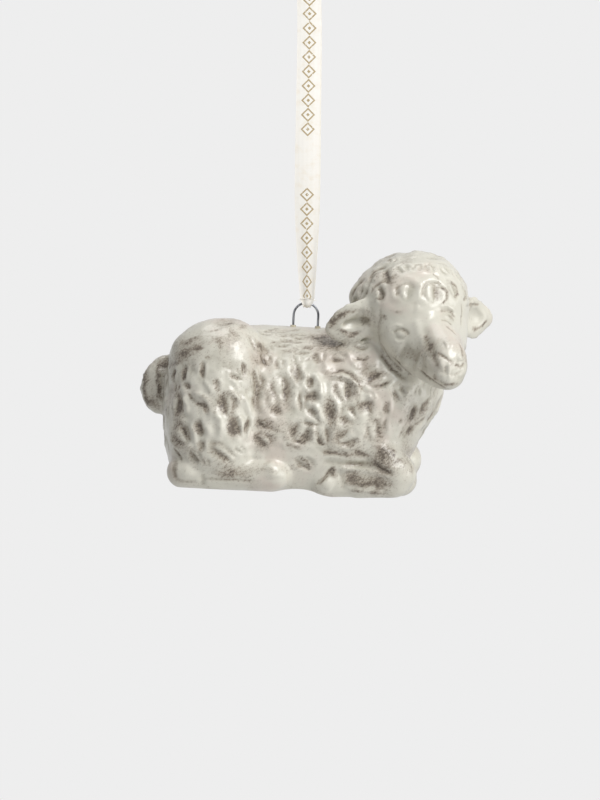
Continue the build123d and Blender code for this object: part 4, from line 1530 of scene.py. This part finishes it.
    def lay_fleece(self) -> None:
        """Tufts over the flank, the cap and the sides that the picture doesn't show."""
        clay = self.clay
        clay.waver(*self.fleece_waver)
        placed = []
        for spot in FLANK_TUFTS + CAP_TUFTS:
            contact = self.seen(spot.x, spot.y)
            if contact:
                clay.tuft(spot, contact)
                placed.append((np.array(contact.point), (spot.across + spot.high) / 2 * MM))
        shown = len(placed)
        self.scatter(placed)
        log.info("fleece: %d tufts by the photograph, %d round the sides", shown, len(placed) - shown)
        self.work_lines(FLEECE_LINES)
        swell = [sum(share * noise.noise(Vector(p) / reach) for share, reach in self.swells)
                 for p in clay.points]
        clay.lift += self.swell * np.array(swell) * (self.brushed + self.wool) / 2
        clay.apply(self.full_relief)

    def find_wool(self) -> tuple[np.ndarray, np.ndarray, np.ndarray]:
        """Tell the fleece from the face and the feet.

        Returns:
            At each point of the skin how deep the fleece is, how rough the brushed coat is, and how
            much the point belongs to the face or an ear, each from 0 to 1.
        """
        clay, edge = self.clay, self.bounds
        stood, turned = (clay.points @ back[:3, :3].T + back[:3, 3]
                         for back in (np.array(STANDING.inverted()), np.array(HEAD.inverted())))
        reach = np.linalg.norm(turned, axis=1)
        x, z = stood[:, 0], stood[:, 2]
        cap = smooth_step(*edge.cap_front, turned[:, 0]) * smooth_step(*edge.cap_hem, turned[:, 2])
        cap *= smooth_step(*edge.cap_depth, np.abs(reach - edge.cap_radius))
        coat = smooth_step(*edge.head, reach) * smooth_step(*edge.feet, z)
        body = coat * smooth_step(*edge.back, z) * (clay.normals[:, 2] > edge.belly)
        body *= 1 - smooth_step(*edge.haunch_x, x) * smooth_step(*edge.haunch_z, z)
        body *= 1 - smooth_step(*edge.shin_x, x) * smooth_step(*edge.shin_z, z)
        ears = smooth_step(*edge.ear_z, z) * smooth_step(*edge.ear_x, x)
        coat *= 1 - ears
        face = np.maximum(smooth_step(*edge.face, reach), ears) * (1 - cap)
        return np.clip(cap + body, 0, 1), np.clip(cap + coat, 0, 1), face

    def scatter(self, placed: list[tuple[np.ndarray, float]]) -> None:
        """Spread tufts wherever the fleece has room for more.

        Args:
            placed: Middle and radius of each tuft that is there already; new ones are added to it.
        """
        clay, odds = self.clay, self.chances
        chance = random.Random(odds.seed)
        allowed = np.nonzero((self.wool > odds.wool) & (clay.normals[:, 1] > self.shown_limit))[0]
        for _ in range(odds.tries):
            number = allowed[chance.randrange(len(allowed))]
            point = clay.points[number]
            radius = chance.uniform(*odds.radius) * MM
            if any(np.linalg.norm(point - other) < odds.room * (radius + size) for other, size in placed):
                continue
            contact = clay.contact_at(Vector(point), Vector(clay.normals[number]))
            placed.append((point, radius))
            slim = chance.uniform(*odds.slim)
            form = (chance.uniform(*limits) for limits in (odds.lean, odds.leaf, odds.shift, odds.wash,
                                                           odds.rim, odds.depth))
            clay.tuft(Tuft(0, 0, radius / MM * slim, radius / MM / slim, *form), contact)

    def shape_eyes(self) -> None:
        """The ball of each eye, in a shallow socket."""
        wide, tall = self.socket_size
        for eye in self.eyes:
            contact = self.seen(eye.x, eye.y)
            self.clay.dab(contact, eye.half_across * wide, eye.half_up * tall, height=-self.socket_depth)
            self.clay.dab(contact, eye.half_across, eye.half_up, height=self.ball_height, lean=eye.lean,
                          power=self.ball_power)

    def brush_wash(self) -> None:
        """Leave brushed patches of wash and of painted shadow, and some wash in every hollow of the relief.
        """
        clay = self.clay
        clay.waver(*self.brush_waver)
        for spot in SMUDGES:
            contact = self.seen(spot.x, spot.y)
            if contact:
                clay.dab(contact, spot.half_across, spot.half_up, wash=spot.strength, lean=spot.lean)
        drift = np.array([noise.noise(Vector(p) / self.drift_reach + self.drift_start) for p in clay.points])
        film = self.film + self.drift * smooth_step(*self.drift_range, drift)
        clay.wash += film * (1 - self.clean_face * self.face)
        clay.wash += self.brushed_film * (self.brushed - self.wool).clip(0, 1)
        clay.wash += self.hollow_wash * smooth_step(*self.hollow_range, clay.relief) * self.brushed


@dataclass
class Ribbon:
    """Satin ribbon: two strands, the fold under the wire, the knot and its two cut ends."""

    width: float = 6.0 * MM
    thickness: float = 0.3 * MM
    cloth: float = 0.8                          # share of the thickness that the cloth itself takes
    sharp_angle: float = math.radians(40)
    gap: float = 0.85 * MM
    fold_side: float = 1.2 * MM
    slip: float = 0.35 * MM                     # how far it has slid along the arch
    pleat: float = 0.16                         # depth of the folds under the wire, as a share of the bend
    pleats: float = 1.5                         # folds across its width
    bunched_width: float = 3.4 * MM
    bunch_length: float = 27.0 * MM             # over which it is drawn together, little by little
    bunch_power: float = 1.5
    turn: float = math.radians(12)
    turn_waves: float = 1.5                     # half waves of the turn along a strand
    turn_depth: float = 0.3
    cup: float = 0.12 * MM                      # how far a strand's middle stands off its edges
    bow: float = 1.1 * MM
    bow_power: float = 0.4
    bow_back: float = 1.5                       # how soon the bow goes over to the other side
    far_bow: float = 0.5 * MM
    knot_width: float = 8.0 * MM
    knot_depth: float = 5.4 * MM
    knot_height: float = 6.0 * MM
    knot_core: float = 0.93                     # core's share of the knot's sizes
    knot_round: float = 1.7 * MM
    knot_fold: float = 0.22                     # millimetres
    knot_slant: float = 0.45
    knot_waves: Range = (2.6, 0.6)              # radians per millimetre, along the slant and across it
    end_radius: float = 3.4 * MM
    end_drop: float = 4.0 * MM
    end_slant: float = 1.0 * MM
    end_flare: float = 0.15 * MM

    def build(self) -> None:
        """Make every stretch of the ribbon."""
        printed = Satin(True).material()
        plain = Satin(False).material()
        knot = self.knot(plain)
        for side in Side:
            self.strand(side, printed)
        self.fold(plain)
        self.ends(plain)

    def band(self, name: str, place: Callable[[float, float], Vector], length: float, rows: int,
             columns: int) -> bpy.types.Object:
        """Make one stretch of ribbon with its two faces and its edges.

        Args:
            name: The piece's name.
            place: Gives a point of the band's middle surface, from a share across (-0.5 to 0.5) and
                a share along (0 to 1).
            length: Its real length, for the print.
            rows: Faces along it.
            columns: Faces across it.

        Returns:
            The band as a new object.
        """
        bm = bmesh.new()
        bmesh.ops.create_grid(bm, x_segments=columns, y_segments=rows, size=0.5)
        layer = bm.loops.layers.uv.new("ribbon")
        for face in bm.faces:
            for loop in face.loops:
                loop[layer].uv = (loop.vert.co.x * self.width, (loop.vert.co.y + 0.5) * length)
        for vert in bm.verts:
            vert.co = place(vert.co.x, vert.co.y + 0.5)
        bmesh.ops.recalc_face_normals(bm, faces=bm.faces)
        flat = len(bm.verts)
        bmesh.ops.solidify(bm, geom=bm.faces[:], thickness=self.thickness * self.cloth)
        bm.verts.ensure_lookup_table()
        for first, second in zip(bm.verts[:flat], bm.verts[flat:]):
            half = (second.co - first.co) / 2
            first.co -= half
            second.co -= half
        bmesh.ops.recalc_face_normals(bm, faces=bm.faces)
        mesh = keep(bm, bpy.data.meshes.new(name))
        mesh.shade_smooth()
        mesh.set_sharp_from_angle(angle=self.sharp_angle)
        return stand(name, mesh)

    def dress(self, obj: bpy.types.Object, material: bpy.types.Material, node: str) -> None:
        """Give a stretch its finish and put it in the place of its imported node.

        Args:
            obj: The stretch.
            material: Its finish.
            node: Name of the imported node.
        """
        obj.data.materials.append(material)
        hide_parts(node)
        log.info("%s: %d faces", obj.name, len(obj.data.polygons))

    def sway(self, side: Side, drop: float) -> float:
        """Tell how far a strand hangs off its straight line.

        Args:
            side: The strand's side.
            drop: Height below the hang point.

        Returns:
            The distance along X.
        """
        share = drop / -ARCH_MIDDLE.z
        lean = self.bow * math.sin(math.pi * share ** self.bow_power) * (1 - self.bow_back * share)
        lean += self.slip * share
        return lean + (self.far_bow * math.sin(math.pi * share) if side is Side.FAR else 0.0)

    def strand(self, side: Side, material: bpy.types.Material) -> None:
        """Hang one strand from the knot down to the fold.

        Args:
            side: Its side.
            material: Its finish.
        """
        top = 0.0
        bottom = CROWN.z + self.fold_side
        middle = side.value * (self.gap + self.thickness / 2)

        def place(across: float, along: float) -> Vector:
            """Give a point of the strand.

            Args:
                across: Share across.
                along: Share along.

            Returns:
                The point.
            """
            z = top + (bottom - top) * along
            above = (z - bottom) / self.bunch_length
            drawn = (1 - min(max(above, 0.0), 1.0)) ** self.bunch_power
            width = self.width + (self.bunched_width - self.width) * drawn
            turn = self.turn * math.sin(math.pi * self.turn_waves * along) * (1 - drawn)
            pleat = self.pleat * abs(middle) * drawn * math.cos(math.tau * self.pleats * across)
            curve = self.cup * math.cos(math.pi * across) * side.value * (1 - drawn)
            x = across * width * math.cos(turn) + self.sway(side, -z)
            y = middle + across * width * math.sin(turn) * self.turn_depth + pleat * side.value + curve
            sag = ARCH_RADIUS + self.fold_side
            off = min(abs(across * width + self.slip), sag)
            dip = (sag - math.sqrt(sag ** 2 - off ** 2)) * drawn
            return Vector((x, y, z - dip))

        name = "ribbon_front" if side is Side.NEAR else "ribbon_back"
        obj = self.band(name + "_satin", place, top - bottom, 90, 16)
        self.dress(obj, material, name)
        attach(obj, Body.RIBBON.value)
        path = [(0.0, middle, top + (bottom - top) * step / 20) for step in range(21)]
        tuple(path[-1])

    def fold(self, material: bpy.types.Material) -> None:
        """Lead the ribbon under the crown of the wire.

        Args:
            material: Its finish.
        """
        radius = self.gap + self.thickness / 2
        straight = self.fold_side
        half_turn = math.pi * radius
        length = half_turn + 2 * straight
        spread = math.asin(self.bunched_width / 2 / (ARCH_RADIUS + self.fold_side))

        def place(across: float, along: float) -> Vector:
            """Give a point of the fold.

            Args:
                across: Share across.
                along: Share along.

            Returns:
                The point.
            """
            run = along * length
            if run < straight:
                y, high = -radius, straight - run
            elif run > straight + half_turn:
                y, high = radius, run - straight - half_turn
            else:
                angle = (run - straight) / radius
                y, high = -radius * math.cos(angle), -radius * math.sin(angle)
            pleat = 1 + self.pleat * math.cos(math.tau * self.pleats * across)
            angle = 2 * spread * across + self.slip / (ARCH_RADIUS + self.fold_side)
            reach = ARCH_RADIUS + (high * pleat if high < 0 else high)
            return Vector((reach * math.sin(angle), y * pleat, ARCH_MIDDLE.z + reach * math.cos(angle)))

        obj = self.band("ribbon_fold_satin", place, length, 44, 16)
        self.dress(obj, material, "ribbon_fold")
        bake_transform(obj)

    def knot(self, material: bpy.types.Material) -> bpy.types.Object:
        """Tie the knot: a lump of folded ribbon with the slanting folds of the turn that binds it.

        Args:
            material: Its finish.

        Returns:
            The knot as one object.
        """
        bm = bmesh.new()
        bmesh.ops.create_cube(bm, size=1.0)
        scale = Vector((self.knot_width, self.knot_depth, self.knot_height)) * self.knot_core
        bmesh.ops.scale(bm, verts=bm.verts, vec=scale)
        bmesh.ops.bevel(bm, geom=bm.edges[:], offset=self.knot_round, offset_type="OFFSET", segments=4,
                        profile=0.5, affect="EDGES", material=-1)
        bmesh.ops.subdivide_edges(bm, edges=bm.edges[:], cuts=4, use_grid_fill=True)
        middle = Vector((0.0, 0.0, self.knot_height / 2))
        bmesh.ops.translate(bm, verts=bm.verts, vec=middle)
        layer = bm.loops.layers.uv.new("ribbon")
        along, beside = self.knot_waves
        for vert in bm.verts:
            place = vert.co - middle
            slant = place.z + self.knot_slant * place.x
            wave = math.sin(slant / MM * along + place.y / MM * beside)
            vert.co += place.normalized() * self.knot_fold * MM * wave
        for face in bm.faces:
            for loop in face.loops:
                loop[layer].uv = (loop.vert.co.x + loop.vert.co.y, loop.vert.co.z)
        bmesh.ops.recalc_face_normals(bm, faces=bm.faces)
        mesh = keep(bm, bpy.data.meshes.new("ribbon_knot_core"))
        mesh.shade_smooth()
        core = stand("ribbon_knot_core", mesh)
        self.dress(core, material, "ribbon_knot")
        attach(core, Body.RIBBON.value)
        return core

    def ends(self, material: bpy.types.Material) -> None:
        """Let the two cut ends bend over and fall on either side of the knot.

        Args:
            material: Their finish.
        """
        bend = math.pi * self.end_radius
        length = bend + self.end_drop
        for side in Side:
            def place(across: float, along: float, side: Side = side) -> Vector:
                """Give a point of an end.

                Args:
                    across: Share across.
                    along: Share along.
                    side: The end's side.

                Returns:
                    The point.
                """
                slant = self.end_slant * (across + 0.5) * along ** 3
                run = along * length - slant
                flare = self.end_flare * math.sin(math.tau * across) * along
                if run < bend:
                    angle = run / self.end_radius
                    y = self.end_radius * (1 - math.cos(angle))
                    z = self.knot_height + self.end_radius * math.sin(angle)
                else:
                    y = 2 * self.end_radius
                    z = self.knot_height - (run - bend)
                y = max(y, 0.0) + self.thickness / 2
                return Vector((across * self.width, side.value * y + flare, z))

            name = "ribbon_end_near" if side is Side.NEAR else "ribbon_end_far"
            obj = self.band(name, place, length, 40, 12)
            self.dress(obj, material, "ribbon_ends")
            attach(obj, Body.RIBBON.value)


@dataclass
class WireLoop:
    """The steel loop and the glue that holds its legs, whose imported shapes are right."""

    def build(self) -> None:
        """Finish both nodes."""
        for node, finish in (("hanger_wire", DrawnSteel()), ("glue_plugs", SetGlue())):
            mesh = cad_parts[node].data
            mesh.materials.clear()
            mesh.materials.append(finish.material())
            log.info("%s: finish laid on the packed node", node)


def main() -> None:
    """Build the ornament and its studio."""
    logging.basicConfig(level=logging.INFO, format="%(name)s: %(message)s")
    Studio().build()
    Ribbon().build()
    WireLoop().build()
    SheepFigure().build()


if __name__ == "__main__":
    main()
